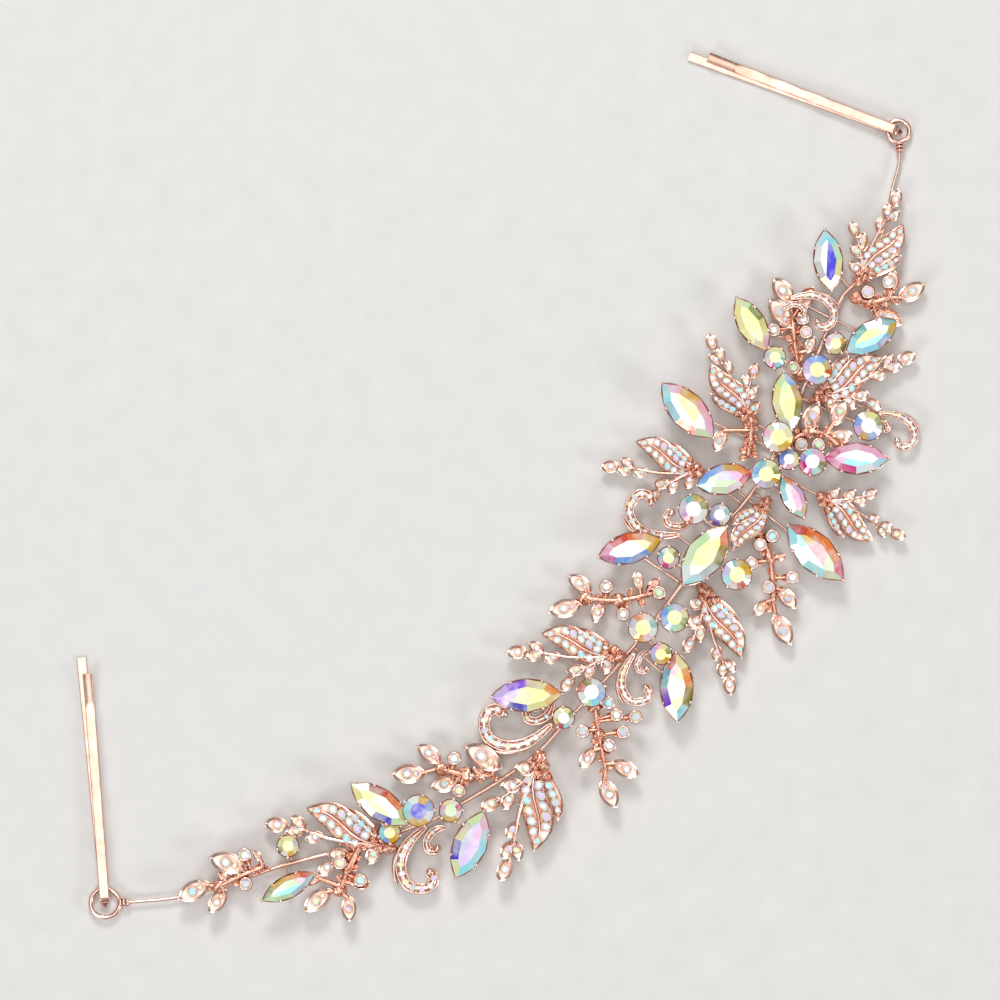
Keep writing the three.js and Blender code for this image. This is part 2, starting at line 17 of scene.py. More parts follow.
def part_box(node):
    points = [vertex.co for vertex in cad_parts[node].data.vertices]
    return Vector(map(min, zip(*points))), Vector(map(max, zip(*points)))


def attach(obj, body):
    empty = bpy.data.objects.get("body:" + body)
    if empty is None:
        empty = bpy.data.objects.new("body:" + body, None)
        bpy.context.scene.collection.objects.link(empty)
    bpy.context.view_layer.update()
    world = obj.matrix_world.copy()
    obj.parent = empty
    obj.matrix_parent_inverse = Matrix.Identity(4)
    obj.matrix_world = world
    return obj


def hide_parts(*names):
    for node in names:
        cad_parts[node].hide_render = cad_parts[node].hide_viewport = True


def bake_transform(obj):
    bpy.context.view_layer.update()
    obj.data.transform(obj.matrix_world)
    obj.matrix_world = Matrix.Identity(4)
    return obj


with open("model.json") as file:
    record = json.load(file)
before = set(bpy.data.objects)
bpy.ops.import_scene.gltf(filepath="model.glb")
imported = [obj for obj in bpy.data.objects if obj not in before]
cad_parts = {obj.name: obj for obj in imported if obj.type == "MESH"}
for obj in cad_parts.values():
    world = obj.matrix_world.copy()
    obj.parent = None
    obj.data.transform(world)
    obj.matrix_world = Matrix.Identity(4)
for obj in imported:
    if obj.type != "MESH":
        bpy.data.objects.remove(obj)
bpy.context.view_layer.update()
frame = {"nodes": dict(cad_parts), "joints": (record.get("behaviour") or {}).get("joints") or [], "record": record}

MM = 0.001
JOINTS = {joint["name"]: joint for joint in frame["joints"]}
LEFT_LOOP = Vector(JOINTS["left_pin_swing"]["pos_m"])
RIGHT_LOOP = Vector(JOINTS["right_pin_swing"]["pos_m"])
ORIGIN = (LEFT_LOOP + RIGHT_LOOP) / 2
ORIGIN.z = 0
WIRE_Z = LEFT_LOOP.z
chance = random.Random(7)
print("loops", tuple(LEFT_LOOP), tuple(RIGHT_LOOP))

# %% [markdown]
# ## The bench
# The vine lies flat on a pale table and is seen from straight above, a little turned, through a
# long lens, so that nothing is drawn out of shape. One large softbox stands over it, and two
# smaller ones give the facets and rims their bright edges.

# %% Camera, floor and lights
VIEW_WIDTH = 208 * MM
CAMERA_HEIGHT = 1.2
VIEW_TURN = math.radians(-44.2)
VIEW_CENTRE = ORIGIN + Vector((2.2, 2.8, 0)) * MM
SENSOR = 36
TABLE_SIZE = 6
TABLE_DROP = 0.2 * MM  # keeps the table clear of the lowest faces

view_data = bpy.data.cameras.new("view_camera")
view_data.sensor_width = SENSOR
view_data.lens = SENSOR * CAMERA_HEIGHT / VIEW_WIDTH
camera = bpy.data.objects.new("view_camera", view_data)
camera.location = VIEW_CENTRE + Vector((0, 0, CAMERA_HEIGHT))
camera.rotation_euler = (0, 0, VIEW_TURN)
bpy.context.scene.collection.objects.link(camera)
bpy.context.scene.camera = camera

bpy.ops.object.select_all(action="DESELECT")
bpy.ops.mesh.primitive_plane_add(size=TABLE_SIZE, location=(0, 0, -TABLE_DROP))
floor = bpy.context.object
floor.name = "table_top"


def softbox(name, place, size, power):
    """A square light that faces the middle of the vine."""
    light = bpy.data.lights.new(name, "AREA")
    light.size = size
    light.energy = power
    lamp = bpy.data.objects.new(name, light)
    lamp.location = place
    lamp.rotation_euler = Vector(place).to_track_quat("Z", "Y").to_euler()
    bpy.context.scene.collection.objects.link(lamp)


softbox("overhead_softbox", (0, 0.12, 1.5), 1.3, 7)
softbox("key_softbox", (0.5, 0.7, 0.8), 0.3, 4.6)
softbox("fill_softbox", (-0.8, -0.1, 0.6), 0.35, 2)
softbox("rim_softbox", (0.3, -0.85, 0.45), 0.25, 2)
bpy.context.scene.view_settings.view_transform = "Standard"
bpy.context.scene.view_settings.gamma = 0.88
print("lens", round(view_data.lens, 1), "mm")

# %% [markdown]
# ## A node at a time
# Every material below is a small net of nodes. One function adds a node, gives its settings and
# links its inputs. Colours are written as the sRGB hex values that a screen shows, and one
# function turns them into the linear values that light is computed in.


# %% Helpers for materials
def linear(code):
    """An sRGB hex colour as linear red, green, blue and alpha."""
    parts = [int(code[i : i + 2], 16) / 255 for i in (1, 3, 5)]
    bent = [c / 12.92 if c <= 0.04045 else ((c + 0.055) / 1.055) ** 2.4 for c in parts]
    return (*bent, 1)


def add(tree, kind, inputs=None, **settings):
    """Adds one node; inputs maps a socket to a value or to another node's output."""
    node = tree.nodes.new(kind)
    for key, value in settings.items():
        setattr(node, key, value)
    for socket, value in (inputs or {}).items():
        if isinstance(value, bpy.types.NodeSocket):
            tree.links.new(value, node.inputs[socket])
        else:
            node.inputs[socket].default_value = value
    return node


def blank(name):
    """A new material with an empty tree, ready for its nodes."""
    material = bpy.data.materials.new(name)
    material.use_nodes = True
    material.node_tree.nodes.clear()
    return material, material.node_tree


def ramp(node, stops):
    """Sets a colour ramp's stops from (place, colour) pairs."""
    band = node.color_ramp
    while len(band.elements) > 1:
        band.elements.remove(band.elements[-1])
    band.elements[0].position, band.elements[0].color = stops[0]
    for place, colour in stops[1:]:
        band.elements.new(place).color = colour


# %% [markdown]
# ## Rose-gold plate
# The castings are a zinc alloy, cast in rubber moulds, tumbled and plated with copper-rich gold.
# Its colour carries painted shade: pale pink where it stands proud and a deep copper where it lies
# low, in the crevices where shade falls. The occlusion node finds the low places on every piece alike,
# which a painted map would have to do piece by piece. The grain of the cast skin is a fine bump.


# %% Rose-gold plate
def rose_gold(name, low, middle, high, grain_mm, bump, rough):
    """Cast and plated metal, with painted shade: deep copper in its crevices, pale on its rims."""
    material, tree = blank(name)
    place = add(tree, "ShaderNodeTexCoord").outputs["Object"]
    # Painted shade: the occlusion finds the crevices, and the ramp colours them from the low colour up to the high
    # one on open faces.
    painted_shade_mask = add(
        tree, "ShaderNodeAmbientOcclusion", {"Distance": 0.7 * MM, "Color": (1, 1, 1, 1)}, samples=6
    )
    tone = add(tree, "ShaderNodeValToRGB", {"Fac": painted_shade_mask.outputs["AO"]})
    ramp(tone, [(0.15, linear(low)), (0.6, linear(middle)), (0.96, linear(high))])
    patch = add(tree, "ShaderNodeTexNoise", {"Vector": place, "Scale": 350.0, "Detail": 3.0})
    tint = add(tree, "ShaderNodeValToRGB", {"Fac": patch.outputs["Fac"]})
    ramp(tint, [(0.35, linear("#f0d2c2")), (0.65, linear("#ffffff"))])
    colour = add(
        tree,
        "ShaderNodeMix",
        {"Factor": 0.6, 6: tone.outputs["Color"], 7: tint.outputs["Color"]},
        data_type="RGBA",
        blend_type="MULTIPLY",
    )
    grain = add(
        tree, "ShaderNodeTexNoise", {"Vector": place, "Scale": 1 / (grain_mm * MM), "Detail": 4.0}
    )
    rougher = add(
        tree,
        "ShaderNodeMapRange",
        {"Value": grain.outputs["Fac"], "To Min": rough, "To Max": rough + 0.16},
    )
    skin = add(
        tree,
        "ShaderNodeBump",
        {"Height": grain.outputs["Fac"], "Strength": bump, "Distance": 0.08 * MM},
    )
    shader = add(
        tree,
        "ShaderNodeBsdfPrincipled",
        {
            "Base Color": colour.outputs[2],
            "Metallic": 1.0,
            "Roughness": rougher.outputs["Result"],
            "Normal": skin.outputs["Normal"],
        },
    )
    add(tree, "ShaderNodeOutputMaterial", {"Surface": shader.outputs["BSDF"]})
    return material


# Painted shade in each plate: its first colour fills the crevices, its second the half-hidden places, its last the
# open faces.
CAST_PLATE = rose_gold("cast_rose_gold_plate", "#8c3214", "#eba788", "#ffebe1", 0.35, 0.3, 0.2)
ROUGH_PLATE = rose_gold("unpolished_copper_root", "#98391a", "#dd8862", "#ffd4bf", 0.5, 0.9, 0.26)
CUP_PLATE = rose_gold("polished_cup_plate", "#e8ab8c", "#fbd0ba", "#fff2ec", 0.4, 0.1, 0.16)
WIRE_PLATE = rose_gold("drawn_rose_gold_wire", "#b0603a", "#f2b79c", "#ffe6da", 0.3, 0.1, 0.18)

# %% [markdown]
# ## Plated spring steel
# A bobby pin is flat-rolled spring wire, plated in a tumbling barrel. The plate is a paler pink
# than the castings', and a fine noise varies its tone and its gloss a little, as tumbling does.

# %% Plated spring steel
PIN_PLATE, steel = blank("rolled_plated_spring_steel")
spot = add(steel, "ShaderNodeTexCoord").outputs["Object"]
lines = add(steel, "ShaderNodeTexNoise", {"Vector": spot, "Scale": 300.0, "Detail": 2.0})
pin_tone = add(steel, "ShaderNodeValToRGB", {"Fac": lines.outputs["Fac"]})
ramp(pin_tone, [(0.3, linear("#f0bfa9")), (0.7, linear("#ffdfd0"))])
pin_rough = add(
    steel, "ShaderNodeMapRange", {"Value": lines.outputs["Fac"], "To Min": 0.14, "To Max": 0.22}
)
pin_skin = add(
    steel,
    "ShaderNodeBump",
    {"Height": lines.outputs["Fac"], "Strength": 0.05, "Distance": 0.1 * MM},
)
pin_shader = add(
    steel,
    "ShaderNodeBsdfPrincipled",
    {
        "Base Color": pin_tone.outputs["Color"],
        "Metallic": 1.0,
        "Roughness": pin_rough.outputs["Result"],
        "Normal": pin_skin.outputs["Normal"],
    },
)
add(steel, "ShaderNodeOutputMaterial", {"Surface": pin_shader.outputs["BSDF"]})

# %% [markdown]
# ## Aurora-coated crystal
# These are foil-backed glass stones with a vapour coat of metal oxide. The coat throws back
# another colour from each facet: mint, lemon, lilac, then suddenly indigo or magenta. Ray-traced
# glass would need hundreds of samples for that, so each facet carries its own colour, painted on
# the mesh, under a hard clear coat. A soft cloud of tone inside each facet keeps it from being flat.

# %% Aurora-coated crystal
CRYSTAL, glass = blank("aurora_coated_crystal")
facet = add(glass, "ShaderNodeVertexColor", layer_name="cut")
glass_spot = add(glass, "ShaderNodeTexCoord").outputs["Object"]
cloud = add(glass, "ShaderNodeTexNoise", {"Vector": glass_spot, "Scale": 420.0, "Detail": 2.0})
glow = add(glass, "ShaderNodeValToRGB", {"Fac": cloud.outputs["Fac"]})
ramp(glow, [(0.42, (0, 0, 0, 1)), (0.68, (0.5, 0.5, 0.5, 1))])
cut_colour = add(
    glass,
    "ShaderNodeMix",
    {"Factor": glow.outputs["Color"], 6: facet.outputs["Color"], 7: linear("#fffdf4")},
    data_type="RGBA",
)
polish = add(
    glass, "ShaderNodeMapRange", {"Value": cloud.outputs["Fac"], "To Min": 0.04, "To Max": 0.12}
)
glass_shader = add(
    glass,
    "ShaderNodeBsdfPrincipled",
    {
        "Base Color": cut_colour.outputs[2],
        "Metallic": 0.12,
        "Roughness": polish.outputs["Result"],
        "IOR": 1.56,
        "Coat Weight": 0.6,
        "Coat Roughness": 0.02,
        "Coat IOR": 1.5,
    },
)
add(glass, "ShaderNodeOutputMaterial", {"Surface": glass_shader.outputs["BSDF"]})

# %% [markdown]
# ## The table top
# A matt, pale board with a faint tooth, so the vine has something real to lie on.

# %% Table top
BOARD, board = blank("pale_matt_board")
board_spot = add(board, "ShaderNodeTexCoord").outputs["Object"]
tooth = add(
    board, "ShaderNodeTexNoise", {"Vector": board_spot, "Scale": 1 / (6 * MM), "Detail": 3.0}
)
board_tone = add(board, "ShaderNodeValToRGB", {"Fac": tooth.outputs["Fac"]})
ramp(board_tone, [(0.3, linear("#ebe9e6")), (0.7, linear("#efedea"))])
board_shader = add(
    board,
    "ShaderNodeBsdfPrincipled",
    {"Base Color": board_tone.outputs["Color"], "Roughness": 0.7},
)
add(board, "ShaderNodeOutputMaterial", {"Surface": board_shader.outputs["BSDF"]})
floor.data.materials.append(BOARD)

world = bpy.data.worlds.new("studio")
world.use_nodes = True
world.node_tree.nodes["Background"].inputs["Color"].default_value = linear("#f2f3f6")
world.node_tree.nodes["Background"].inputs["Strength"].default_value = 0.33
bpy.context.scene.world = world

# %% [markdown]
# ## Working on a part
# A modelling operator works on all that is selected, so each step first says what it works on.
# These helpers select faces by a test on their place or their normal, and make copies with a mesh
# of their own. A copy that is mirrored has its faces turned back to point outwards.


# %% Helpers for modelling
def take(part):
    """Selects this part alone and makes it the active one."""
    bpy.ops.object.select_all(action="DESELECT")
    part.select_set(True)
    bpy.context.view_layer.objects.active = part


def faces(part, test):
    """Goes into edit mode with only the faces that pass the test selected."""
    take(part)
    for item in [*part.data.vertices, *part.data.edges]:
        item.select = False
    for face in part.data.polygons:
        face.select = bool(test(face))
    bpy.ops.object.mode_set(mode="EDIT")
    bpy.ops.mesh.select_mode(type="FACE")


def done():
    bpy.ops.object.mode_set(mode="OBJECT")


def upward(face):
    return face.normal.z > 0.9


def downward(face):
    return face.normal.z < -0.9


def apply(part, kind, **settings):
    """Adds a modifier and applies it at once."""
    take(part)
    modifier = part.modifiers.new(kind, kind)
    for key, value in settings.items():
        setattr(modifier, key, value)
    bpy.ops.object.modifier_apply(modifier=modifier.name)


def named(name):
    bpy.context.object.name = name
    return bpy.context.object


def copy_of(pattern, matrix):
    """A copy with its own mesh, with its place in the mesh and its faces outwards."""
    piece = bpy.data.objects.new(pattern.name + "_copy", pattern.data.copy())
    bpy.context.scene.collection.objects.link(piece)
    piece.data.transform(matrix)
    if matrix.determinant() < 0:
        piece.data.flip_normals()
    return piece


def weld(name, parts):
    """Joins parts into one object of that name."""
    bpy.ops.object.select_all(action="DESELECT")
    for part in parts:
        part.select_set(True)
    bpy.context.view_layer.objects.active = parts[0]
    if len(parts) > 1:
        bpy.ops.object.join()
    return named(name)


def finish(part, material, body, slot, *nodes):
    """Gives a finished piece its material and its body, and hides the nodes it stands for; its slot is not used.
    """
    part.data.materials.clear()
    part.data.materials.append(material)
    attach(part, body)
    if nodes:
        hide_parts(*nodes)
    return part


def soften(part, angle=40):
    take(part)
    bpy.ops.object.shade_smooth_by_angle(angle=math.radians(angle))


def wire(name, points, radius, closed=False, sides=3, taper=None):
    """A round wire along points, closed at its ends."""
    line = bpy.data.curves.new(name, "CURVE")
    line.dimensions = "3D"
    line.bevel_depth = radius
    line.bevel_resolution = sides
    line.use_fill_caps = True
    spline = line.splines.new("NURBS")
    spline.points.add(len(points) - 1)
    for i, point in enumerate(points):
        spline.points[i].co = (*point, 1)
        spline.points[i].radius = taper[i] if taper else 1
    spline.order_u = 3
    spline.use_endpoint_u = not closed
    spline.use_cyclic_u = closed
    spline.resolution_u = 4
    part = bpy.data.objects.new(name, line)
    bpy.context.scene.collection.objects.link(part)
    take(part)
    bpy.ops.object.convert(target="MESH")
    for face in part.data.polygons:
        face.use_smooth = True
    return named(name)


# %% [markdown]
# ## The pointed oval
# Navette crystals, their cups and all the leaves share one outline: two equal arcs that meet in a
# point at each end. A disc of the arc's radius is cut down to one side of a chord and mirrored,
# which keeps both arcs true.


# %% A pointed-oval plate
def pointed_oval(name, length, width, depth, cuts):
    """A plate from z = 0 up, with about that many cuts along each arc."""
    radius = (length**2 + width**2) / (4 * width)
    share = math.asin(length / 2 / radius) / math.pi
    bpy.ops.object.select_all(action="DESELECT")
    bpy.ops.mesh.primitive_cylinder_add(
        vertices=2 * round(cuts / share / 2),
        radius=radius,
        depth=depth,
        location=(0, width / 2 - radius, depth / 2),
    )
    plate = named(name)
    bpy.ops.object.transform_apply(location=True)
    bpy.ops.object.mode_set(mode="EDIT")
    bpy.ops.mesh.select_all(action="SELECT")
    bpy.ops.mesh.bisect(plane_co=(0, 0, 0), plane_no=(0, 1, 0), clear_inner=True)
    done()
    apply(plate, "MIRROR", use_axis=(False, True, False))
    for side in (upward, downward):
        faces(plate, side)
        bpy.ops.mesh.dissolve_faces()
        done()
    return plate


# %% [markdown]
# ## Cutting the crystals
# A crystal starts as its girdle, the thin edge that the claws hold. The top face is inset and
# lifted, which gives the ring of crown facets, and is then split by slanted cuts, because through
# the flat table one sees the facets of the back. The bottom is drawn in to make the pavilion.

# %% Cut a navette and a round stone
GIRDLE = 0.5 * MM
CROWN = 0.7 * MM
PAVILION = 0.7 * MM
NAVETTE_LENGTH = 15 * MM
NAVETTE_WIDTH = 6.9 * MM
ROUND = 6 * MM


def cut_stone(stone, step, table_cuts):
    """Crown, table and pavilion on a plate that is the girdle."""
    faces(stone, upward)
    bpy.ops.mesh.inset(thickness=step, depth=0)
    bpy.ops.transform.translate(value=(0, 0, CROWN))
    done()
    faces(stone, downward)
    bpy.ops.mesh.inset(thickness=step * 1.1, depth=0)
    bpy.ops.transform.translate(value=(0, 0, -PAVILION))
    done()
    top = CROWN + GIRDLE
    for place, turn in table_cuts:
        faces(stone, lambda face: face.normal.z > 0.99 and face.center.z > top * 0.9)
        slant = (math.cos(turn), math.sin(turn), 0)
        bpy.ops.mesh.bisect(plane_co=(*place, 0), plane_no=slant)
        done()
    return stone


navette = cut_stone(
    pointed_oval("navette_pattern", NAVETTE_LENGTH, NAVETTE_WIDTH, GIRDLE, 4),
    1.5 * MM,
    [((-2.4 * MM, 0), 0.45), ((2.2 * MM, 0), -0.5), ((0, 0.35 * MM), 1.42)],
)

bpy.ops.object.select_all(action="DESELECT")
bpy.ops.mesh.primitive_cylinder_add(
    vertices=16, radius=ROUND / 2, depth=GIRDLE, location=(0, 0, GIRDLE / 2)
)
round_stone = named("round_pattern")
bpy.ops.object.transform_apply(location=True)
cut_stone(round_stone, 1.4 * MM, [])

PAVE = 2 * MM
bpy.ops.mesh.primitive_cylinder_add(
    vertices=8, radius=PAVE / 2, depth=0.25 * MM, location=(0, 0, 0.12 * MM)
)
pave_stone = named("pave_pattern")
bpy.ops.object.transform_apply(location=True)
faces(pave_stone, upward)
bpy.ops.mesh.inset(thickness=0.42 * MM, depth=0)
bpy.ops.transform.translate(value=(0, 0, 0.35 * MM))
done()
print("facets", len(navette.data.polygons), len(round_stone.data.polygons))

# %% [markdown]
# ## The colours of the coat
# Each crystal gets a word of letters, read round its table and then round its crown, that says
# which colour each facet throws back. Small stones draw theirs from a jar of mostly pale ones.

# %% Paint the facets
COAT = {
    "W": "#ffffff",
    "Y": "#fffab0",
    "G": "#dafcc4",
    "C": "#aef5ff",
    "B": "#86b8ff",
    "L": "#e2ccff",
    "P": "#ffc4e0",
    "M": "#ea2a90",
    "R": "#e04a30",
    "O": "#ff9444",
    "A": "#f0be28",
    "T": "#7fd0c6",
    "I": "#3a2ede",
    "V": "#8a3ee4",
    "K": "#8f9a4a",
    "S": "#ccd3df",
}
SMALL_JAR = "WWWWYSWWGWYWCPSWLWYWSWWW"


def paint(stone, letters):
    """Colours a stone's table facets, then its crown; both go round from its tail, by the right."""
    mesh = stone.data
    layer = mesh.color_attributes.new("cut", "FLOAT_COLOR", "CORNER")
    crown = [face for face in mesh.polygons if face.normal.z > 0.05]
    flattest = max(face.normal.z for face in crown) - 0.01

    def around(face):
        return math.atan2(face.center.y, face.center.x)

    table = sorted((f for f in crown if f.normal.z > flattest), key=around)
    ring = sorted((f for f in crown if f.normal.z <= flattest), key=around)
    ring_letters = letters[len(table) :]
    codes = {face.index: letters[i] + letters[(i + 1) % len(table)] for i, face in enumerate(table)}
    for i, face in enumerate(ring):
        place = i * len(ring_letters) // len(ring)
        codes[face.index] = ring_letters[place] + ring_letters[(place + 1) % len(ring_letters)]
    for face in mesh.polygons:
        own, other = (Vector(linear(COAT[c])) for c in codes.get(face.index, "SS"))
        spots = [mesh.vertices[mesh.loops[corner].vertex_index].co for corner in face.loop_indices]
        low = min(spot.x + spot.y for spot in spots)
        reach = max(spot.x + spot.y for spot in spots) - low
        for corner, spot in zip(face.loop_indices, spots):
            share = 0.35 * (spot.x + spot.y - low) / max(reach, 1e-9)
            layer.data[corner].color = own.lerp(other, share)


def small_coat():
    """A table letter and eight crown letters for a small stone, mostly pale."""
    return "".join(chance.choice(SMALL_JAR) for _ in range(9))


# %% [markdown]
# ## Cups and claws
# A fancy stone sits in a stamped cup with a wall as high as its girdle, and claws are bent over
# its edge. The cup is the stone's outline, a little larger, hollowed from the top and drawn in
# below, with a claw at each tip and along the sides.

# %% Model the cups
CUP_WALL = 0.38 * MM
CUP_SHOWN = 0.22 * MM  # how much of the wall shows round the stone
CUP_HIGH = 1.0 * MM
CLAW = 0.26 * MM


def hollow_cup(plate):
    """Hollows a solid plate from the top and draws its foot in."""
    faces(plate, upward)
    bpy.ops.mesh.inset(thickness=CUP_WALL, depth=0)
    bpy.ops.transform.translate(value=(0, 0, -CUP_HIGH * 0.8))
    done()
    faces(plate, downward)
    bpy.ops.transform.resize(value=(0.72, 0.72, 1))
    done()
    apply(plate, "BEVEL", width=CUP_WALL * 0.35, segments=2, limit_method="ANGLE")
    soften(plate)
    return plate


bpy.ops.object.select_all(action="DESELECT")
bpy.ops.mesh.primitive_uv_sphere_add(segments=8, ring_count=5, radius=1)
ball = named("ball_pattern")
for face in ball.data.polygons:
    face.use_smooth = True

claw_leg = wire(
    "claw_leg", [(0, 0, -CUP_HIGH), (0, 0, 0), (-0.12 * MM, 0, 0.25 * MM)], CLAW, sides=1
)
claw_tip = copy_of(ball, Matrix.Translation((-0.1 * MM, 0, 0.3 * MM)) @ Matrix.Scale(CLAW * 1.6, 4))
claw = weld("claw_pattern", [claw_leg, claw_tip])


def claw_at(x, y, facing):
    """A claw that stands at x, y and bends inwards."""
    return copy_of(claw, Matrix.Translation((x, y, CUP_HIGH)) @ Matrix.Rotation(facing, 4, "Z"))


def navette_cup(length, width):
    """A cup for one pointed-oval crystal, with its claws."""
    plate = pointed_oval("cup", length + 2 * CUP_SHOWN, width + 2 * CUP_SHOWN, CUP_HIGH, 8)
    hollow_cup(plate)
    parts = [plate, claw_at(length / 2, 0, 0), claw_at(-length / 2, 0, math.pi)]
    reach = width / 2 * 0.86
    for across in (-1, 1):
        for along in (-0.22, 0.22):
            parts.append(claw_at(along * length, across * reach, across * math.pi / 2))
    return weld("cup", parts)


def round_cup(radius, claws, start):
    """A cup for one round crystal, with its claws."""
    bpy.ops.object.select_all(action="DESELECT")
    bpy.ops.mesh.primitive_cylinder_add(
        vertices=24, radius=radius + CUP_SHOWN, depth=CUP_HIGH, location=(0, 0, CUP_HIGH / 2)
    )
    plate = named("cup")
    bpy.ops.object.transform_apply(location=True)
    parts = [hollow_cup(plate)]
    for i in range(claws):
        angle = start + i * 2 * math.pi / claws
        reach = radius + CUP_WALL * 0.6
        parts.append(claw_at(reach * math.cos(angle), reach * math.sin(angle), angle))
    return weld("cup", parts)


# %% [markdown]
# ## Setting the crystals
# Each crystal goes where its plain solid stands. Its heading is the maker's; its place, length and
# width are read from the solid itself. A small tilt, different for each, lets the facets catch
# different lights, as hand-set stones do.

# %% Set the navettes
NAVETTE_HEADINGS = [163, 101, 23, 138, 47, 151, 9, 89, 149, 52, 74, 135, 91, 76, 168, 52]
NAVETTE_COATS = [
    "PGWGCC" "ROAK" "GGSC",
    "WWYYYW" "GORT" "YYIG",
    "LLPLSL" "CCCP" "GYIY",
    "YYLLYW" "OYVL" "VIYY",
    "YWYPWY" "CKOY" "RTVY",
    "YWWWWY" "AORP" "MBBA",
    "WYYYYG" "CSKO" "PGGW",
    "WYYWWW" "PPAP" "CCRG",
    "PLGWGP" "OABB" "CGWM",
    "YYYGYY" "CKAB" "GYYW",
    "PPPCWC" "APLO" "TCWC",
    "WWWPCC" "PPPM" "PMWC",
    "GPACWC" "MOOR" "CCCG",
    "YYYYYS" "PYKG" "YYYY",
    "WYYCCG" "TPTC" "CCBA",
    "IIIWWY" "OYGC" "CWSY",
]


def heading_matrix(degrees):
    return Matrix.Rotation(math.radians(degrees), 4, "Z")


def measure(node, heading):
    """The middle of a node's solid, and its length and width in that heading."""
    low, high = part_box(node)
    turned = heading_matrix(-heading)
    spots = [turned @ v.co for v in frame["nodes"][node].data.vertices]
    xs, ys = [s.x for s in spots], [s.y for s in spots]
    return (low + high) / 2, low.z, max(xs) - min(xs), max(ys) - min(ys)


def body_for(node):
    return next(b for b, members in frame["record"]["behaviour"]["bodies"].items() if node in members)


for i, heading in enumerate(NAVETTE_HEADINGS):
    node = f"navette_crystal_{i + 1:02d}"
    middle, base, length, width = measure(node, heading)
    tilt = Matrix.Rotation(chance.uniform(-0.09, 0.09), 4, "X") @ Matrix.Rotation(
        chance.uniform(-0.05, 0.05), 4, "Y"
    )
    seat = Matrix.Translation((middle.x, middle.y, base)) @ heading_matrix(heading) @ tilt
    size = Matrix.Diagonal((length / NAVETTE_LENGTH, width / NAVETTE_WIDTH, 1, 1))
    stone = copy_of(navette, Matrix.Identity(4))
    paint(stone, NAVETTE_COATS[i])
    stone.data.transform(seat @ Matrix.Translation((0, 0, PAVILION)) @ size)
    stone.name = f"cut_navette_{i + 1:02d}"
    finish(stone, CRYSTAL, body_for(node), "crystal", node)
    cup = navette_cup(length, width)
    cup.data.transform(seat @ Matrix.Translation((0, 0, PAVILION - CUP_HIGH + GIRDLE * 0.6)))
    cup.name = f"navette_cup_{i + 1:02d}"
    finish(cup, CUP_PLATE, body_for(node), "rose_gold_plate")
print("navettes set", len(NAVETTE_HEADINGS))

# %% Set the round crystals
ROUND_COATS = [
    "ICAAWBAWC",
    "WWGCBSWKR",
    "YWAPWTWOS",
    "YBCGKYLTB",
    "WLRWWKATS",
    "YCWRWAATL",
    "YCLSAKYTB",
    "YWWAAYWGP",
    "WMMCKPPCB",
    "WLABWKYYB",
    "YLLCRABBL",
]
SMALL_ROUNDS = [
    (-79.5, -18, 4.4, 0, "YKWAYSYYY"),
    (-50, -36.2, 4.6, 2, "GSAAWMWYP"),
    (-62.3, -30.6, 4.4, 1, "YCBAAYYAC"),
    (-19.7, -38.6, 4.4, 2, "WYRCWKYYW"),
    (4, -43.2, 4.4, 2, "YBAAAKYPL"),
    (32.8, -31.2, 4.4, 2, "WBVWWTWSS"),
    (19, -30, 4.4, 2, "YLMPWKYWT"),
    (50.8, -32.8, 4.2, 3, "WBPPYYSBB"),
    (63.5, -15.7, 4.4, 3, "YWMCTGYYS"),
    (74.5, -22.3, 4.4, 1, "YWYYKAWWP"),
]
WIRE_R = 0.6 * MM
WIRE_SHOWN = 0.47 * MM  # radius; the plain model's wire is stouter
FIRST_LAYER = 2 * MM
LAYER_STEP = 1.3 * MM


def layer_z(layer):
    """The height that a layer of castings starts at."""
    return FIRST_LAYER + layer * LAYER_STEP


def set_round(name, centre, base, size, coat, body, node=None):
    """One round crystal in its cup."""
    tilt = Matrix.Rotation(chance.uniform(-0.12, 0.12), 4, "X") @ Matrix.Rotation(
        chance.uniform(-0.12, 0.12), 4, "Y"
    )
    spin = Matrix.Rotation(VIEW_TURN, 4, "Z")
    seat = Matrix.Translation((centre.x, centre.y, base)) @ tilt @ spin
    flat = Matrix.Diagonal((size / ROUND, size / ROUND, 1, 1))
    stone = copy_of(round_stone, Matrix.Identity(4))
    paint(stone, coat)
    stone.data.transform(seat @ Matrix.Translation((0, 0, PAVILION)) @ flat)
    stone.name = "cut_" + name
    finish(stone, CRYSTAL, body, "crystal", *([node] if node else []))
    cup = round_cup(size / 2, 5, chance.uniform(0, 1))
    cup.data.transform(seat @ Matrix.Translation((0, 0, PAVILION - CUP_HIGH + GIRDLE * 0.6)))
    cup.name = name + "_cup"
    finish(cup, CUP_PLATE, body, "rose_gold_plate")


for i, coat in enumerate(ROUND_COATS):
    node = f"round_crystal_{i + 1:02d}"
    middle, base, length, _ = measure(node, 0)
    set_round(f"round_{i + 1:02d}", middle, base, length, coat, body_for(node), node)
for i, (x, y, size, layer, coat) in enumerate(SMALL_ROUNDS):
    centre = ORIGIN + Vector((x, y, 0)) * MM
    set_round(f"small_round_{i + 1:02d}", centre, layer_z(layer), size * MM, coat, "band")
print("round crystals set", len(ROUND_COATS) + len(SMALL_ROUNDS))

# %% [markdown]
# ## Leaves
# A cast leaf is a shallow tray with a bright raised rim, and the widest ones have a rib down the
# middle. Each kind is modelled once at its own size: the plate is inset, its floor is let down,
# and its edges are rounded by a bevel. A rib is laid in as a thin wire.

# %% Model the leaves
LEAF_THICK = 0.9 * MM


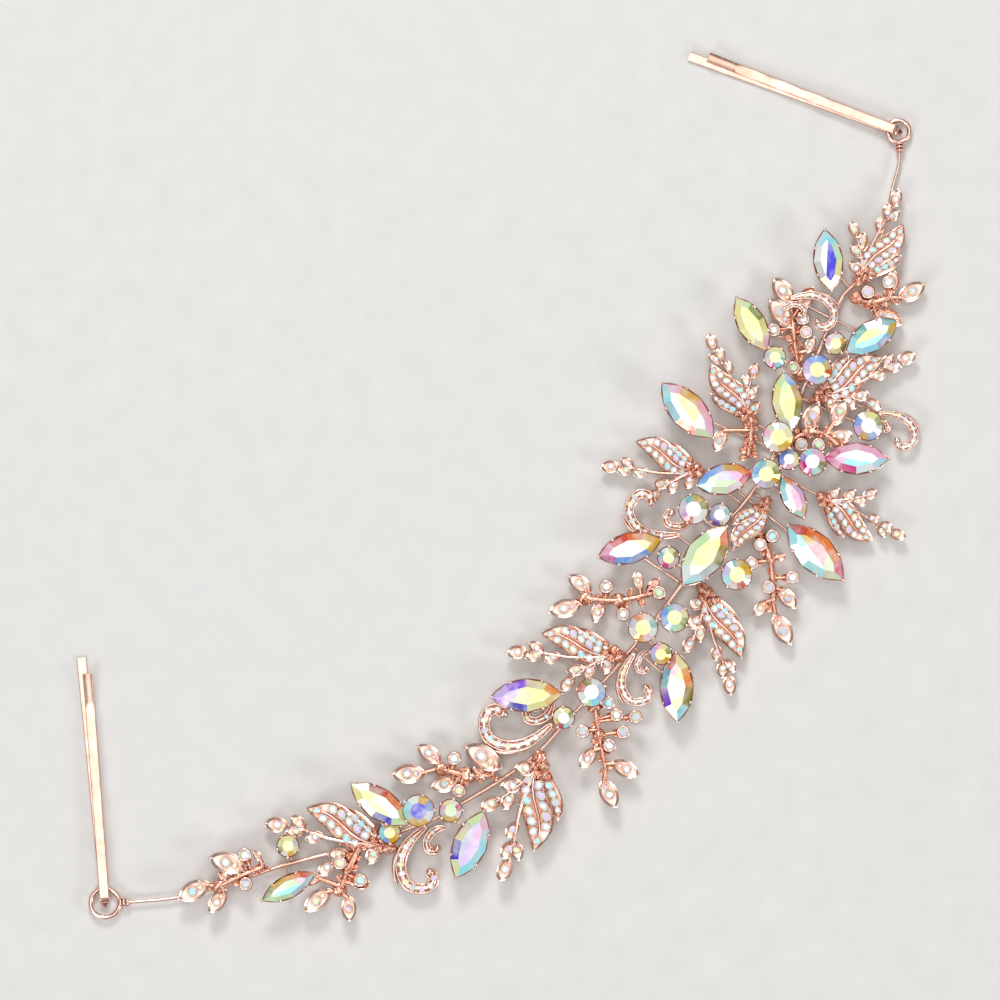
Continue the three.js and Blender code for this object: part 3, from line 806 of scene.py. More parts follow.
def leaf_pattern(name, length, width, rim, deep, rib=0, cuts=9):
    """A tray-shaped leaf from its base at x = 0 to its tip."""
    leaf = pointed_oval(name, length, width, LEAF_THICK, cuts)
    faces(leaf, upward)
    bpy.ops.mesh.inset(thickness=rim, depth=0)
    bpy.ops.transform.translate(value=(0, 0, -deep))
    done()
    apply(leaf, "BEVEL", width=rim * 0.35, segments=2, limit_method="ANGLE")
    soften(leaf)
    parts = [leaf]
    if rib:
        floor_z = LEAF_THICK - deep
        along = [(-0.5, 0.2), (-0.2, 0.5), (0.1, 0.4), (0.31, 0.3)]
        points = [(length * u, 0, floor_z + rib * lift) for u, lift in along]
        parts.append(wire("rib", points, rib, taper=[1.2, 1, 0.9, 0.4]))
    leaf = weld(name, parts)
    leaf.data.transform(Matrix.Translation((length / 2, 0, 0)))
    return leaf


SPRAY = 20 * MM  # the main leaf of a spray that has not been scaled
LEAFLET = 4.2 * MM
main_leaf = leaf_pattern("main_leaf", 0.94 * SPRAY, 0.35 * SPRAY, 0.48 * MM, 0.4 * MM, 0.36 * MM, 12)
side_lobe = leaf_pattern("side_lobe", 0.66 * SPRAY, 0.19 * SPRAY, 0.5 * MM, 0.35 * MM)
leaflet = leaf_pattern("leaflet", LEAFLET, 2.6 * MM, 0.38 * MM, 0.35 * MM, cuts=6)
sprig_leaf = leaf_pattern("sprig_leaf", 6.4 * MM, 3.5 * MM, 0.45 * MM, 0.4 * MM, cuts=8)
plain_leaf = leaf_pattern("plain_leaf", 3.4 * MM, 1.9 * MM, 0.3 * MM, 0.25 * MM, 0.2 * MM, 5)

# %% [markdown]
# ## Pavé stones and grains
# Pavé is a row of small stones, each held by grains of metal raised from the tray's floor. The
# stones fill the tray, so their size follows the leaf's width at that place.


# %% Rows of pavé
def half_width(u, width):
    """Half the width of a pointed oval at u, from 0 at its base to 1 at its tip."""
    return width / 2 * (1 - (2 * u - 1) ** 2)


def pave(spots):
    """Stones and grains at (x, y, z, diameter), as two lists of copies."""
    stones, grains = [], []
    for x, y, z, size in spots:
        turn = Matrix.Rotation(chance.uniform(0, 0.7), 4, "Z")
        lean = Matrix.Rotation(chance.uniform(-0.15, 0.15), 4, "X")
        flat = Matrix.Diagonal((size / PAVE, size / PAVE, 1, 1))
        stone = copy_of(pave_stone, Matrix.Identity(4))
        paint(stone, small_coat())
        stone.data.transform(Matrix.Translation((x, y, z)) @ lean @ turn @ flat)
        stones.append(stone)
        for quarter in range(4):
            angle = math.pi / 4 + quarter * math.pi / 2
            reach = size / 2 * 1.04
            at = (x + reach * math.cos(angle), y + reach * math.sin(angle), z + 0.22 * MM)
            grains.append(copy_of(ball, Matrix.Translation(at) @ Matrix.Scale(0.2 * MM, 4)))
    return stones, grains


def main_rows():
    """Two rows of stones along the main leaf, one on each side of its rib, and one at its tip."""
    length, width = 0.94 * SPRAY, 0.35 * SPRAY
    spots = [(0.87 * length, 0, 0.55 * MM, 1.7 * MM)]
    for side, start, count in ((1, 0.2, 6), (-1, 0.25, 5)):
        for step in range(count):
            u = start + step * 0.113
            room = half_width(u, width)
            size = min(2.1 * MM, room * 0.8)
            spots.append((u * length, side * room * 0.48, 0.55 * MM, size))
    return spots


def lobe_row():
    """One row along the side lobe."""
    length, width = 0.66 * SPRAY, 0.17 * SPRAY
    return [
        (u * length, 0, 0.55 * MM, min(2 * MM, half_width(u, width) * 1.3))
        for u in (0.24, 0.38, 0.52, 0.66, 0.79)
    ]


def sway(part, length, amount):
    """Draws a leaf into a soft S, with its base and its tip left where they are."""
    for vertex in part.data.vertices:
        vertex.co.y += amount * math.sin(2 * math.pi * vertex.co.x / length)


def leaf_with_stones(name, pattern, spots, length, amount):
    """A leaf's metal and its stones, each welded into one pattern."""
    stones, grains = pave(spots)
    metal = weld(name + "_metal", [copy_of(pattern, Matrix.Identity(4)), *grains])
    gems = weld(name + "_stones", stones)
    for part in (metal, gems):
        sway(part, length, amount)
    return metal, gems


main_metal, main_stones = leaf_with_stones(
    "main", main_leaf, main_rows(), 0.94 * SPRAY, 0.05 * SPRAY
)
lobe_metal, lobe_stones = leaf_with_stones(
    "lobe", side_lobe, lobe_row(), 0.66 * SPRAY, 0.02 * SPRAY
)
print("pavé in one spray", len(main_rows()) + len(lobe_row()))

# %% [markdown]
# ## Roots and knots
# Where a spray meets the wire the casting is a crowd of tiny grains over a rough lump, left
# unpolished and a darker copper, with painted shade darker still in the hollows between grains.
# The lump is a ball, flattened and roughened by a displacement.

# %% Model a knot
bpy.ops.object.select_all(action="DESELECT")
bpy.ops.mesh.primitive_ico_sphere_add(subdivisions=3, radius=1.5 * MM)
knot = named("knot_pattern")
lumps = bpy.data.textures.new("knot_lumps", "CLOUDS")
lumps.noise_scale = 1.0 * MM
apply(knot, "DISPLACE", texture=lumps, strength=1.5 * MM, mid_level=0.5)
knot.data.transform(Matrix.Diagonal((1, 1, 0.5, 1)))
soften(knot, 60)


def grains_on(x, y, z, radius, count, size):
    """Grains on the upper side of a lump of that radius, which is half as high as it is wide."""
    made = []
    for _ in range(count):
        angle, share = chance.uniform(0, 2 * math.pi), math.sqrt(chance.random())
        at = Vector((math.cos(angle) * share, math.sin(angle) * share, math.sqrt(1 - share**2) / 2))
        grain = Matrix.Scale(chance.uniform(0.6, 1) * size, 4)
        made.append(copy_of(ball, Matrix.Translation(Vector((x, y, z)) + radius * at) @ grain))
    return made


# %% [markdown]
# ## Leaf sprays
# One casting holds the main leaf, a side lobe and a fern: two thin branches with a stone in each
# leaflet. It is laid out in lengths of its main leaf, then scaled, mirrored and turned into place.
# The leaves arch a little, so a soft curve runs through the whole casting.

# %% Assemble the leaf sprays
# root x, root y, heading, main leaf's length, fern side, lobe spread, fern turn, layer
SPRAYS = [
    (-64.5, -33, 111, 19.5, 1, 0.6, 0, 0),
    (-29, -41, -138, 20, -1, 1, 0, 1),
    (-2.5, -38, 120, 17.5, 1, 0.6, 0, 0),
    (19.5, -39.5, -105, 17, -1, 0.6, 0, 0),
    (36, -22.5, 110, 15.5, 1, 0.6, 8, 0),
    (51, -22, 81, 15, -1, 1, -5, 1),
    (42, -36, -169, 13, 0, 1, 0, 1),
    (50.5, -43, -84, 14.5, 1, 1, 0, 0),
    (63.5, -28, -12, 17, -1, 1, -6, 0),
    (87, -16.5, 8, 15.5, 1, 1, 0, 0),
]
FERN_STEMS = [
    [(0.15, 0.04), (0.5, 0.17), (0.85, 0.2), (1.12, 0.25)],
    [(0.15, 0.04), (0.34, 0.2), (0.5, 0.42)],
]
LEAFLETS = [
    (0.7, 0.18, 0.85, 0.28),
    (0.9, 0.2, 1.08, 0.14),
    (0.9, 0.21, 1.07, 0.31),
    (1.09, 0.24, 1.3, 0.32),
    (0.3, 0.16, 0.33, 0.37),
    (0.38, 0.25, 0.56, 0.33),
    (0.47, 0.38, 0.57, 0.56),
    (0.12, 0.03, 0.14, 0.24),
]
ROOT_LUMPS = [(0.2, 0, 0.95), (1.8, -1, 0.8), (2.2, 1.1, 0.8), (3.8, 0.1, 0.65), (4.2, -2, 0.5)]


def between(start, end, pattern_length):
    """The matrix that lays a leaf pattern from start to end."""
    along = Vector(end) - Vector(start)
    return (
        Matrix.Translation((start[0], start[1], 0))
        @ Matrix.Rotation(math.atan2(along.y, along.x), 4, "Z")
        @ Matrix.Scale(along.length / pattern_length, 4)
    )


def turned(u, v, degrees):
    """A point of the fern in metres, turned about the root."""
    angle = math.radians(degrees)
    x = u * math.cos(angle) - v * math.sin(angle)
    y = u * math.sin(angle) + v * math.cos(angle)
    return (x * SPRAY, y * SPRAY)


def single_stone(matrix, x, z, size):
    """One stone of a leaflet, laid by the leaflet's own matrix."""
    flat = Matrix.Diagonal((size / PAVE, size / PAVE, 1, 1))
    stone = copy_of(pave_stone, Matrix.Identity(4))
    paint(stone, small_coat())
    stone.data.transform(matrix @ Matrix.Translation((x, 0, z)) @ flat)
    return stone


def arch(part, rise, reach):
    """Lifts a casting along its length, most in the middle."""
    for vertex in part.data.vertices:
        vertex.co.z += rise * math.sin(math.pi * min(1, max(0, vertex.co.x / reach)))


def make_spray(index, layout):
    """The metal, the stones and the rough root of one spray, in place."""
    x, y, heading, length, side, lobe, fern_turn, layer = layout
    start, tip = (0.06 * SPRAY, 0), (SPRAY, 0)
    main = between(start, tip, 0.94 * SPRAY)
    lobe_start, lobe_tip = (0.05 * SPRAY, -0.05 * SPRAY), (0.68 * SPRAY, -0.25 * lobe * SPRAY)
    lobe_way = between(lobe_start, lobe_tip, 0.66 * SPRAY)
    lower = Matrix.Translation((0, 0, -0.25 * MM))
    metal = [copy_of(main_metal, main), copy_of(lobe_metal, lower @ lobe_way)]
    stones = [copy_of(main_stones, main), copy_of(lobe_stones, lower @ lobe_way)]
    if side:
        for stem in FERN_STEMS:
            spots = [(*turned(u, v, fern_turn), 0.45 * MM) for u, v in stem]
            metal.append(wire("fern_stem", spots, 0.46 * MM, taper=[1.3, 1.1, 0.9, 0.7][: len(spots)]))
            for x0, y0, z0 in spots[1:]:
                metal += grains_on(x0, y0, z0, 0.6 * MM, 5, 0.3 * MM)
        for u0, v0, u1, v1 in LEAFLETS:
            way = between(turned(u0, v0, fern_turn), turned(u1, v1, fern_turn), LEAFLET)
            way = way @ Matrix.Translation((-0.1 * LEAFLET, 0, 0)) @ Matrix.Scale(1.22, 4)
            metal.append(copy_of(leaflet, way))
            stones.append(single_stone(way, 1.95 * MM, 0.5 * MM, 1.5 * MM))
    root = []
    for along, across, size in ROOT_LUMPS:
        spin = Matrix.Rotation(chance.uniform(0, 6), 4, "Z")
        spot = (along * MM, across * MM, 0.6 * MM)
        root.append(copy_of(knot, Matrix.Translation(spot) @ spin @ Matrix.Scale(size, 4)))
        root += grains_on(*spot, 1.3 * size * MM, 20, 0.34 * MM)
    hand = -1 if side < 0 else 1
    scale = length * MM / SPRAY
    put = (
        Matrix.Translation(ORIGIN + Vector((x, y, 0)) * MM + Vector((0, 0, layer_z(layer))))
        @ heading_matrix(heading)
        @ Matrix.Diagonal((scale, hand * scale, scale, 1))
    )
    node = f"leaf_spray_{index + 1:02d}"
    body = body_for(node)
    groups = (
        (f"leaf_spray_metal_{index + 1:02d}", metal, CAST_PLATE, "rose_gold_plate"),
        (f"leaf_spray_stones_{index + 1:02d}", stones, CRYSTAL, "crystal"),
        (f"leaf_spray_root_{index + 1:02d}", root, ROUGH_PLATE, "rose_gold_plate"),
    )
    for name, parts, material, slot in groups:
        piece = weld(name, parts)
        arch(piece, 0.8 * MM, SPRAY)
        piece.data.transform(put)
        if put.determinant() < 0:
            piece.data.flip_normals()
        finish(piece, material, body, slot, *([node] if material is CAST_PLATE else []))


for index, layout in enumerate(SPRAYS):
    make_spray(index, layout)
print("sprays", len(SPRAYS))

# %% [markdown]
# ## Scrolls
# A scroll is a band that curls in on itself, with a bright rim on each side and a row of stones
# between, which shrink towards the curl. A smaller scroll with a ball at its end springs from the
# same root, and a plain flap follows the outside of the band.

# %% Assemble the scrolls
SCROLLS = [
    (-56.5, -35, -137, 13, 1, 0),
    (-23, -38, 132, 14, -1, 0),
    (-0.5, -39.5, -123, 10, 1, 1),
    (23.5, -28, 95, 12, -1, 1),
    (71.5, -39.5, -93, 9, -1, 0),
    (75, -9.5, -78, 9.7, -1, 1),
]
BAND = [
    (0, 0),
    (0.16, -0.16),
    (0.36, -0.3),
    (0.58, -0.35),
    (0.78, -0.31),
    (0.93, -0.2),
    (0.98, -0.02),
    (0.94, 0.13),
    (0.8, 0.2),
    (0.7, 0.13),
]
INNER = [(-0.02, 0.34), (0.04, 0.16), (0.2, 0.05), (0.34, 0.08), (0.37, 0.2), (0.32, 0.23)]
FLAP = [(0.1, -0.14), (0.3, -0.34), (0.57, -0.45), (0.78, -0.44), (0.95, -0.38)]
SCROLL = 13 * MM  # root to far side of a scroll that has not been scaled


def smooth(points, count):
    """Evenly spaced points on a smooth line through the given ones."""
    ends = [points[0], *points, points[-1]]
    dense = []
    for i in range(1, len(ends) - 2):
        a, b, c, d = (Vector(p) for p in ends[i - 1 : i + 3])
        bend = 2 * a - 5 * b + 4 * c - d
        twist = 3 * b - a - 3 * c + d
        for k in range(12):
            t = k / 12
            dense.append(0.5 * (2 * b + (c - a) * t + bend * t**2 + twist * t**3))
    dense.append(Vector(points[-1]))
    far = [0]
    for a, b in zip(dense, dense[1:]):
        far.append(far[-1] + (b - a).length)
    result = []
    for i in range(count):
        want = far[-1] * i / (count - 1)
        j = max(k for k in range(len(far)) if far[k] <= want + 1e-12)
        j = min(j, len(far) - 2)
        result.append(dense[j].lerp(dense[j + 1], (want - far[j]) / (far[j + 1] - far[j])))
    return result


def offset(line, widths, side):
    """The line moved sideways by half of each width."""
    moved = []
    for i, point in enumerate(line):
        along = line[min(i + 1, len(line) - 1)] - line[max(i - 1, 0)]
        across = Vector((-along.y, along.x)).normalized()
        moved.append(point + across * side * widths[i] / 2)
    return moved


def channel(points, wide, count):
    """A stone channel along a line: a floor wire between two rim wires."""
    line = [p * SCROLL for p in smooth(points, count)]
    widths = [wide * min(1, 0.45 + 2.4 * i / count) * (1 - 0.08 * i / count) for i in range(count)]
    floor_points = [(p.x, p.y, 0.3 * MM) for p in line]
    parts = [wire("floor", floor_points, wide * 0.45, taper=[w / wide for w in widths])]
    for side in (-1, 1):
        rim = [(p.x, p.y, 0.62 * MM) for p in offset(line, widths, side)]
        parts.append(wire("rim", rim, 0.27 * MM))
    return parts, line, widths


def make_scroll(index, layout):
    """One scroll's metal and stones, in place."""
    x, y, heading, length, side, layer = layout
    metal, line, widths = channel(BAND, 0.155 * SCROLL, 26)
    inner, inner_line, inner_widths = channel(INNER, 0.11 * SCROLL, 14)
    metal += inner
    flap = [(p.x * SCROLL, p.y * SCROLL, 0.3 * MM) for p in smooth(FLAP, 10)]
    metal.append(wire("flap", flap, 0.5 * MM, taper=[0.4, 0.8, 1, 1.1, 1.1, 1.1, 1, 0.9, 0.6, 0.3]))
    spots = []
    for k in range(10):
        at = 4 + k * 2.15
        point = line[int(at)].lerp(line[min(int(at) + 1, 25)], at % 1)
        spots.append((point.x, point.y, 0.6 * MM, widths[int(at)] * 0.86))
    for k in (4, 7, 10):
        spots.append((inner_line[k].x, inner_line[k].y, 0.6 * MM, inner_widths[k] * 0.85))
    stones = []
    for k in range(12):
        ridge = 3 + k * 1.85
        near, far = line[int(ridge)], line[min(int(ridge) + 1, 25)]
        across = Vector((near.y - far.y, far.x - near.x)).normalized()
        for share in (-0.3, 0.3):
            spot = near.lerp(far, ridge % 1) + across * share * widths[int(ridge)]
            grain = Matrix.Translation((spot.x, spot.y, 0.66 * MM)) @ Matrix.Scale(0.3 * MM, 4)
            metal.append(copy_of(ball, grain))
    for sx, sy, sz, size in spots:
        flat = Matrix.Diagonal((size / PAVE, size / PAVE, 1, 1))
        stone = copy_of(pave_stone, Matrix.Identity(4))
        paint(stone, small_coat())
        stone.data.transform(Matrix.Translation((sx, sy, sz)) @ flat)
        stones.append(stone)
    for end in (line[-1], inner_line[-1]):
        metal.append(
            copy_of(ball, Matrix.Translation((end.x, end.y, 0.7 * MM)) @ Matrix.Scale(0.95 * MM, 4))
        )
    hand = -1 if side < 0 else 1
    scale = length * MM / SCROLL
    put = (
        Matrix.Translation(ORIGIN + Vector((x, y, 0)) * MM + Vector((0, 0, layer_z(layer))))
        @ heading_matrix(heading)
        @ Matrix.Diagonal((scale, hand * scale, scale, 1))
    )
    node = f"scroll_{index + 1:02d}"
    for kind, parts, material, slot in (
        ("metal", metal, CAST_PLATE, "rose_gold_plate"),
        ("stones", stones, CRYSTAL, "crystal"),
    ):
        piece = weld(f"scroll_{kind}_{index + 1:02d}", parts)
        piece.data.transform(put)
        if put.determinant() < 0:
            piece.data.flip_normals()
        finish(piece, material, body_for(node), slot, *([node] if kind == "metal" else []))


for index, layout in enumerate(SCROLLS):
    make_scroll(index, layout)
print("scrolls", len(SCROLLS))

# %% [markdown]
# ## Bead sprigs
# The sprigs fill the gaps. Each is its own casting: a rough stem with knots, open leaves with one
# stone near the tip, plain leaflets, and beads, which are small stones in round cups on stalks.

# %% Assemble the bead sprigs
SPRIGS = [
    {
        "layer": 1,
        "leaves": [(-96.5, -12, -103, -10), (-95, -15.5, -100.5, -16.5), (-89, -15, -92.5, -8.5)],
        "leaflets": [(-93.5, -15, -93.5, -11.5), (-85.5, -16.5, -85, -13.5)],
        "beads": [(-91, -17.5), (-87, -13)],
        "stem": [(-95.5, -14), (-91, -15.5), (-86, -17.5)],
    },
    {
        "layer": 1,
        "leaves": [(-79.5, -30.5, -86, -30), (-77.5, -34, -81, -38), (-79, -27.5, -82.5, -25)],
        "leaflets": [(-75.5, -33, -72, -35.5)],
        "beads": [(-73.5, -33.5), (-74, -28)],
        "stem": [(-78, -32), (-73.5, -30), (-69, -28.5)],
    },
    {
        "layer": 0,
        "leaves": [
            (-44.5, -27.5, -45.5, -22),
            (-48.5, -27, -53.5, -22.5),
            (-44.5, -33, -49.5, -30),
            (-36.5, -37, -38.5, -29),
        ],
        "leaflets": [(-40.5, -36.5, -40, -32.5)],
        "beads": [(-42, -29), (-46, -34.5)],
        "stem": [(-45.5, -28.5), (-42.5, -33.5), (-39, -37)],
    },
    {
        "layer": 1,
        "leaves": [(-19.5, -48, -24.5, -48.5), (-19, -52.5, -17, -58), (-23, -53.5, -25, -59.5)],
        "leaflets": [(-18, -48, -19, -45.5)],
        "beads": [(-19, -43.5), (-11, -43), (-11.5, -46), (-9, -49), (-13, -49.5), (-17, -49.5)],
        "stem": [(-13.5, -41.5), (-17, -46.5), (-21, -52.5)],
    },
    {
        "layer": 0,
        "leaves": [
            (2.5, -24, 1.5, -18.5),
            (-1, -24.5, -6.5, -21),
            (3, -27, -1.5, -29),
            (10, -31, 12, -27.5),
        ],
        "leaflets": [(11, -32, 15, -32)],
        "beads": [(5.5, -25.5), (4, -32), (12.5, -34)],
        "stem": [(0.5, -24), (5.5, -29.5), (12, -33.5)],
    },
    {
        "layer": 0,
        "leaves": [(31, -50.5, 30.5, -56), (27.5, -51, 23.5, -51), (26.5, -54, 24.5, -60.5)],
        "leaflets": [(34.5, -45.5, 37, -47)],
        "beads": [(37.5, -42), (34.5, -41.5), (30.5, -43), (34.5, -51), (29.5, -49)],
        "stem": [(36, -39.5), (34, -45), (28, -52)],
    },
    {
        "layer": 1,
        "leaves": [(57.5, -31, 63.5, -29), (60, -35, 64, -38.5), (62.5, -34, 68, -32.5)],
        "leaflets": [(59, -32, 62, -30.5)],
        "beads": [(57.5, -35), (55, -32.5)],
        "stem": [(54, -30.5), (57.5, -31.5), (60, -34), (60.5, -38.5)],
    },
    {
        "layer": 0,
        "leaves": [
            (74, -10.5, 75, -4),
            (70.5, -13.5, 71.5, -6.5),
            (74, -12, 79.5, -11),
            (69, -19.5, 72.5, -18.5),
        ],
        "leaflets": [(68, -16, 70, -17.5)],
        "beads": [(67.5, -11.5), (73.5, -14), (72, -16.5), (65, -20)],
        "stem": [(65, -22), (68, -17.5), (72, -12.5)],
    },
    {
        "layer": 0,
        "leaves": [(90.5, -23, 94, -20), (90.5, -25, 96.5, -26.5), (85, -23, 87.5, -29)],
        "leaflets": [(88, -22.5, 87, -25.5)],
        "beads": [(87, -19.5), (91.5, -21)],
        "stem": [(84.5, -18.5), (86, -21.5), (89.5, -23.5)],
    },
    {
        "layer": 1,
        "leaves": [(46, -19, 41.3, -21)],
        "leaflets": [],
        "beads": [],
        "stem": [(51, -22), (48, -24.5), (45.5, -26.5)],
    },
]
BEAD = 2.3 * MM
BEAD_RIM = 1.22 * MM  # radius of the rim wire
BEAD_LEAF = 2.8  # the longest leaf under a bead, in millimetres

bpy.ops.object.select_all(action="DESELECT")
bpy.ops.mesh.primitive_cylinder_add(
    vertices=16, radius=BEAD / 2 + 0.3 * MM, depth=0.9 * MM, location=(0, 0, 0.45 * MM)
)
bead_cup = named("bead_cup_pattern")
bpy.ops.object.transform_apply(location=True)
faces(bead_cup, upward)
bpy.ops.mesh.inset(thickness=0.3 * MM, depth=0)
bpy.ops.transform.translate(value=(0, 0, -0.4 * MM))
done()
faces(bead_cup, downward)
bpy.ops.transform.resize(value=(0.5, 0.5, 1))
done()
rim_points = []
for k in range(12):
    angle = k * math.pi / 6
    rim_points.append((BEAD_RIM * math.cos(angle), BEAD_RIM * math.sin(angle), 0.85 * MM))
bead_rim = wire("bead_rim", rim_points, 0.24 * MM, closed=True)
soften(bead_cup)
bead_cup = weld("bead_cup_pattern", [bead_cup, bead_rim])


def nearest_on(stem, spot):
    """The point of a stem that is nearest to a spot."""
    return min(smooth(stem, 25), key=lambda p: (p - Vector(spot)).length)


def make_sprig(index, sprig):
    """One bead sprig's metal, stones and rough stem, in place."""
    metal, stones, rough = [], [], []
    stem = [(p.x * MM, p.y * MM, 0.4 * MM) for p in smooth(sprig["stem"], 9)]
    rough.append(wire("stem", stem, 0.58 * MM, taper=[chance.uniform(0.8, 1.35) for _ in stem]))
    for kind, pattern, size in (("leaves", sprig_leaf, 6.4 * MM), ("leaflets", plain_leaf, 3.4 * MM)):
        for x0, y0, x1, y1 in sprig[kind]:
            way = between((x0 * MM, y0 * MM), (x1 * MM, y1 * MM), size)
            if kind == "leaves":
                way = way @ Matrix.Translation((-0.06 * size, 0, 0)) @ Matrix.Scale(1.12, 4)
                stones.append(single_stone(way, 3.5 * MM, 0.5 * MM, 1.85 * MM))
                stones.append(single_stone(way, 1.95 * MM, 0.5 * MM, 1.0 * MM))
            metal.append(copy_of(pattern, way))
            joint = nearest_on(sprig["stem"], (x0, y0))
            inside = way @ Vector((size * 0.15, 0, 0.4 * MM))
            bend = [(joint.x * MM, joint.y * MM, 0.4 * MM), tuple(inside)]
            rough.append(wire("stalk", [bend[0], bend[0], bend[1]], 0.5 * MM))
    for x, y in sprig["beads"]:
        here = Matrix.Translation((x * MM, y * MM, 0.35 * MM))
        metal.append(copy_of(bead_cup, here))
        stones.append(single_stone(here, 0, 0.65 * MM, BEAD))
        joint = nearest_on(sprig["stem"], (x, y))
        stalk = [(*(joint * MM), 0.4 * MM)] * 2 + [(x * MM, y * MM, 0.5 * MM)]
        rough.append(wire("stalk", stalk, 0.38 * MM))
        away = Vector((x, y)) - joint
        foot = Vector((x, y)) - min(BEAD_LEAF, away.length) * away.normalized()
        rough.append(copy_of(plain_leaf, between(foot * MM, (x * MM, y * MM), 3.4 * MM)))
    for x, y in (sprig["stem"][0], sprig["stem"][1]):
        size = chance.uniform(0.75, 1)
        here = Matrix.Translation((x * MM, y * MM, 0.4 * MM))
        spin = Matrix.Rotation(chance.uniform(0, 6), 4, "Z")
        rough.append(copy_of(knot, here @ spin @ Matrix.Scale(size, 4)))
        rough += grains_on(x * MM, y * MM, 0.4 * MM, 1.3 * size * MM, 16, 0.32 * MM)
    for i, (x, y, z) in enumerate(stem):
        rough += grains_on(x, y, z, 0.8 * MM, 9, 0.32 * MM)
        ahead = Vector(stem[min(i + 1, 8)]) - Vector(stem[max(i - 1, 0)])
        lean = math.atan2(ahead.y, ahead.x) + (1 if i % 2 else -1) * chance.uniform(0.5, 1.3)
        fin = Matrix.Translation((x, y, 0.1 * MM)) @ Matrix.Rotation(lean, 4, "Z")
        rough.append(copy_of(plain_leaf, fin @ Matrix.Scale(chance.uniform(0.5, 0.8), 4)))
    put = Matrix.Translation(ORIGIN + Vector((0, 0, layer_z(sprig["layer"]))))
    node = f"bead_sprig_{index + 1:02d}"
    body = body_for(node) if node in frame["nodes"] else "band"
    for kind, parts, material, slot in (
        ("metal", metal, CAST_PLATE, "rose_gold_plate"),
        ("stones", stones, CRYSTAL, "crystal"),
        ("stem", rough, ROUGH_PLATE, "rose_gold_plate"),
    ):
        piece = weld(f"sprig_{kind}_{index + 1:02d}", parts)
        piece.data.transform(put)
        stands_for = [node] if kind == "metal" and node in frame["nodes"] else []
        finish(piece, material, body, slot, *stands_for)


for index, sprig in enumerate(SPRIGS):
    make_sprig(index, sprig)
print("sprigs", len(SPRIGS))

# %% [markdown]
# ## The wire
# One soft wire carries everything. It is bent by hand when the vine is worn. It is made in two
# runs that curve smoothly across the places where the ends turn, and meet under a crystal in the
# middle. Short arms reach out from it to the cups that stand to one side.

# %% Lay the wire
LEFT_ROUTE = [(-112.6, -2.4), (-110, -4.5), (-103, -10), (-93, -15.5), (-84, -19.7)]
MIDDLE_ROUTE = [
    (-81, -21.4),
    (-71, -27),
    (-60, -32.5),
    (-53, -35.5),
    (-47, -37),
    (-38.5, -39),
    (-29.5, -40.3),
    (-22.5, -40),
    (-15, -39.6),
    (-5.5, -39),
    (4, -38),
    (13, -36.7),
    (23, -35),
    (30.5, -33.6),
    (38, -33),
    (45.5, -31.5),
    (54, -28.3),
    (62.5, -25),
    (72.5, -20.6),
    (80.4, -17.3),
]
RIGHT_ROUTE = [(83.4, -16.3), (88, -16.3), (97.5, -13), (106, -7.5), (110.5, -4.8), (113.4, -1.8)]
MEETING = 10  # the two runs share this point of the middle route
RUN_POINTS = 80
THIN_END = 0.72  # share of the wire's radius that is left at a loop
THIN_REACH = 20  # points from a loop to the full radius
THINNING = [THIN_END + (1 - THIN_END) * min(1, count / THIN_REACH) for count in range(RUN_POINTS)]


def in_place(points, z):
    """Route points as places in the row frame."""
    return [tuple(ORIGIN + Vector((x * MM, y * MM, z))) for x, y in points]


def run(points):
    """A route as evenly spaced places at the wire's height."""
    return in_place([(p.x, p.y) for p in smooth(points, RUN_POINTS)], WIRE_Z)


left_points = run(LEFT_ROUTE + MIDDLE_ROUTE[: MEETING + 1])
right_points = run(MIDDLE_ROUTE[MEETING:] + RIGHT_ROUTE)
for name, points, thin, joint, bodies, nodes in (
    (
        "wire_left_run",
        left_points,
        THINNING,
        "left_end_bend",
        ("left_end", "band"),
        ("left_end_wire", "base_wire"),
    ),
    (
        "wire_right_run",
        right_points,
        THINNING[::-1],
        "right_end_bend",
        ("band", "right_end"),
        ("right_end_wire",),
    ),
):
    piece = wire(name, points, WIRE_SHOWN, taper=thin)
    piece.data.materials.append(WIRE_PLATE)
    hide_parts(*nodes)
    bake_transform(piece)
print("wire runs with", len(left_points), "and", len(right_points), "points")

# %% [markdown]
# ## Loops and wound tails
# At each end the wire is drawn thinner, turned once into a loop and wound two and a half times
# round itself. A helix of wire makes the winding.

# %% Make the loops
LOOP_WIRE = 0.5 * MM
LEFT_RING = 3.05 * MM  # radius
RIGHT_RING = 2.3 * MM


def end_loop(name, centre, radius, toward, body):
    """A ring of wire and the winding that closes it."""
    ring = [
        (
            centre.x + radius * math.cos(2 * math.pi * i / 24),
            centre.y + radius * math.sin(2 * math.pi * i / 24),
            centre.z,
        )
        for i in range(24)
    ]
    way = (Vector(toward) - centre).normalized()
    across = Vector((-way.y, way.x, 0))
    parts = [wire("ring", ring, LOOP_WIRE, closed=True)]
    start = centre + way * radius
    turns, coil = 2.5, WIRE_R * 0.8 + 0.2 * MM
    helix = []
    for i in range(int(turns * 10) + 1):
        angle = i / 10 * 2 * math.pi
        at = start + way * (i / 10) * 0.72 * MM
        lift = Vector((0, 0, coil * math.sin(angle)))
        helix.append(tuple(at + across * coil * math.cos(angle) + lift))
    parts.append(wire("winding", helix, 0.32 * MM))
    parts.append(wire("neck", [tuple(start), tuple(start + way * 2.2 * MM)], WIRE_R * 0.8))
    finish(weld(name, parts), WIRE_PLATE, body, "rose_gold_plate")


end_loop("left_end_loop", LEFT_LOOP, LEFT_RING, left_points[1], "left_end")
end_loop("right_end_loop", RIGHT_LOOP, RIGHT_RING, right_points[-2], "right_end")
print("loops of radius", LEFT_RING, "and", RIGHT_RING)

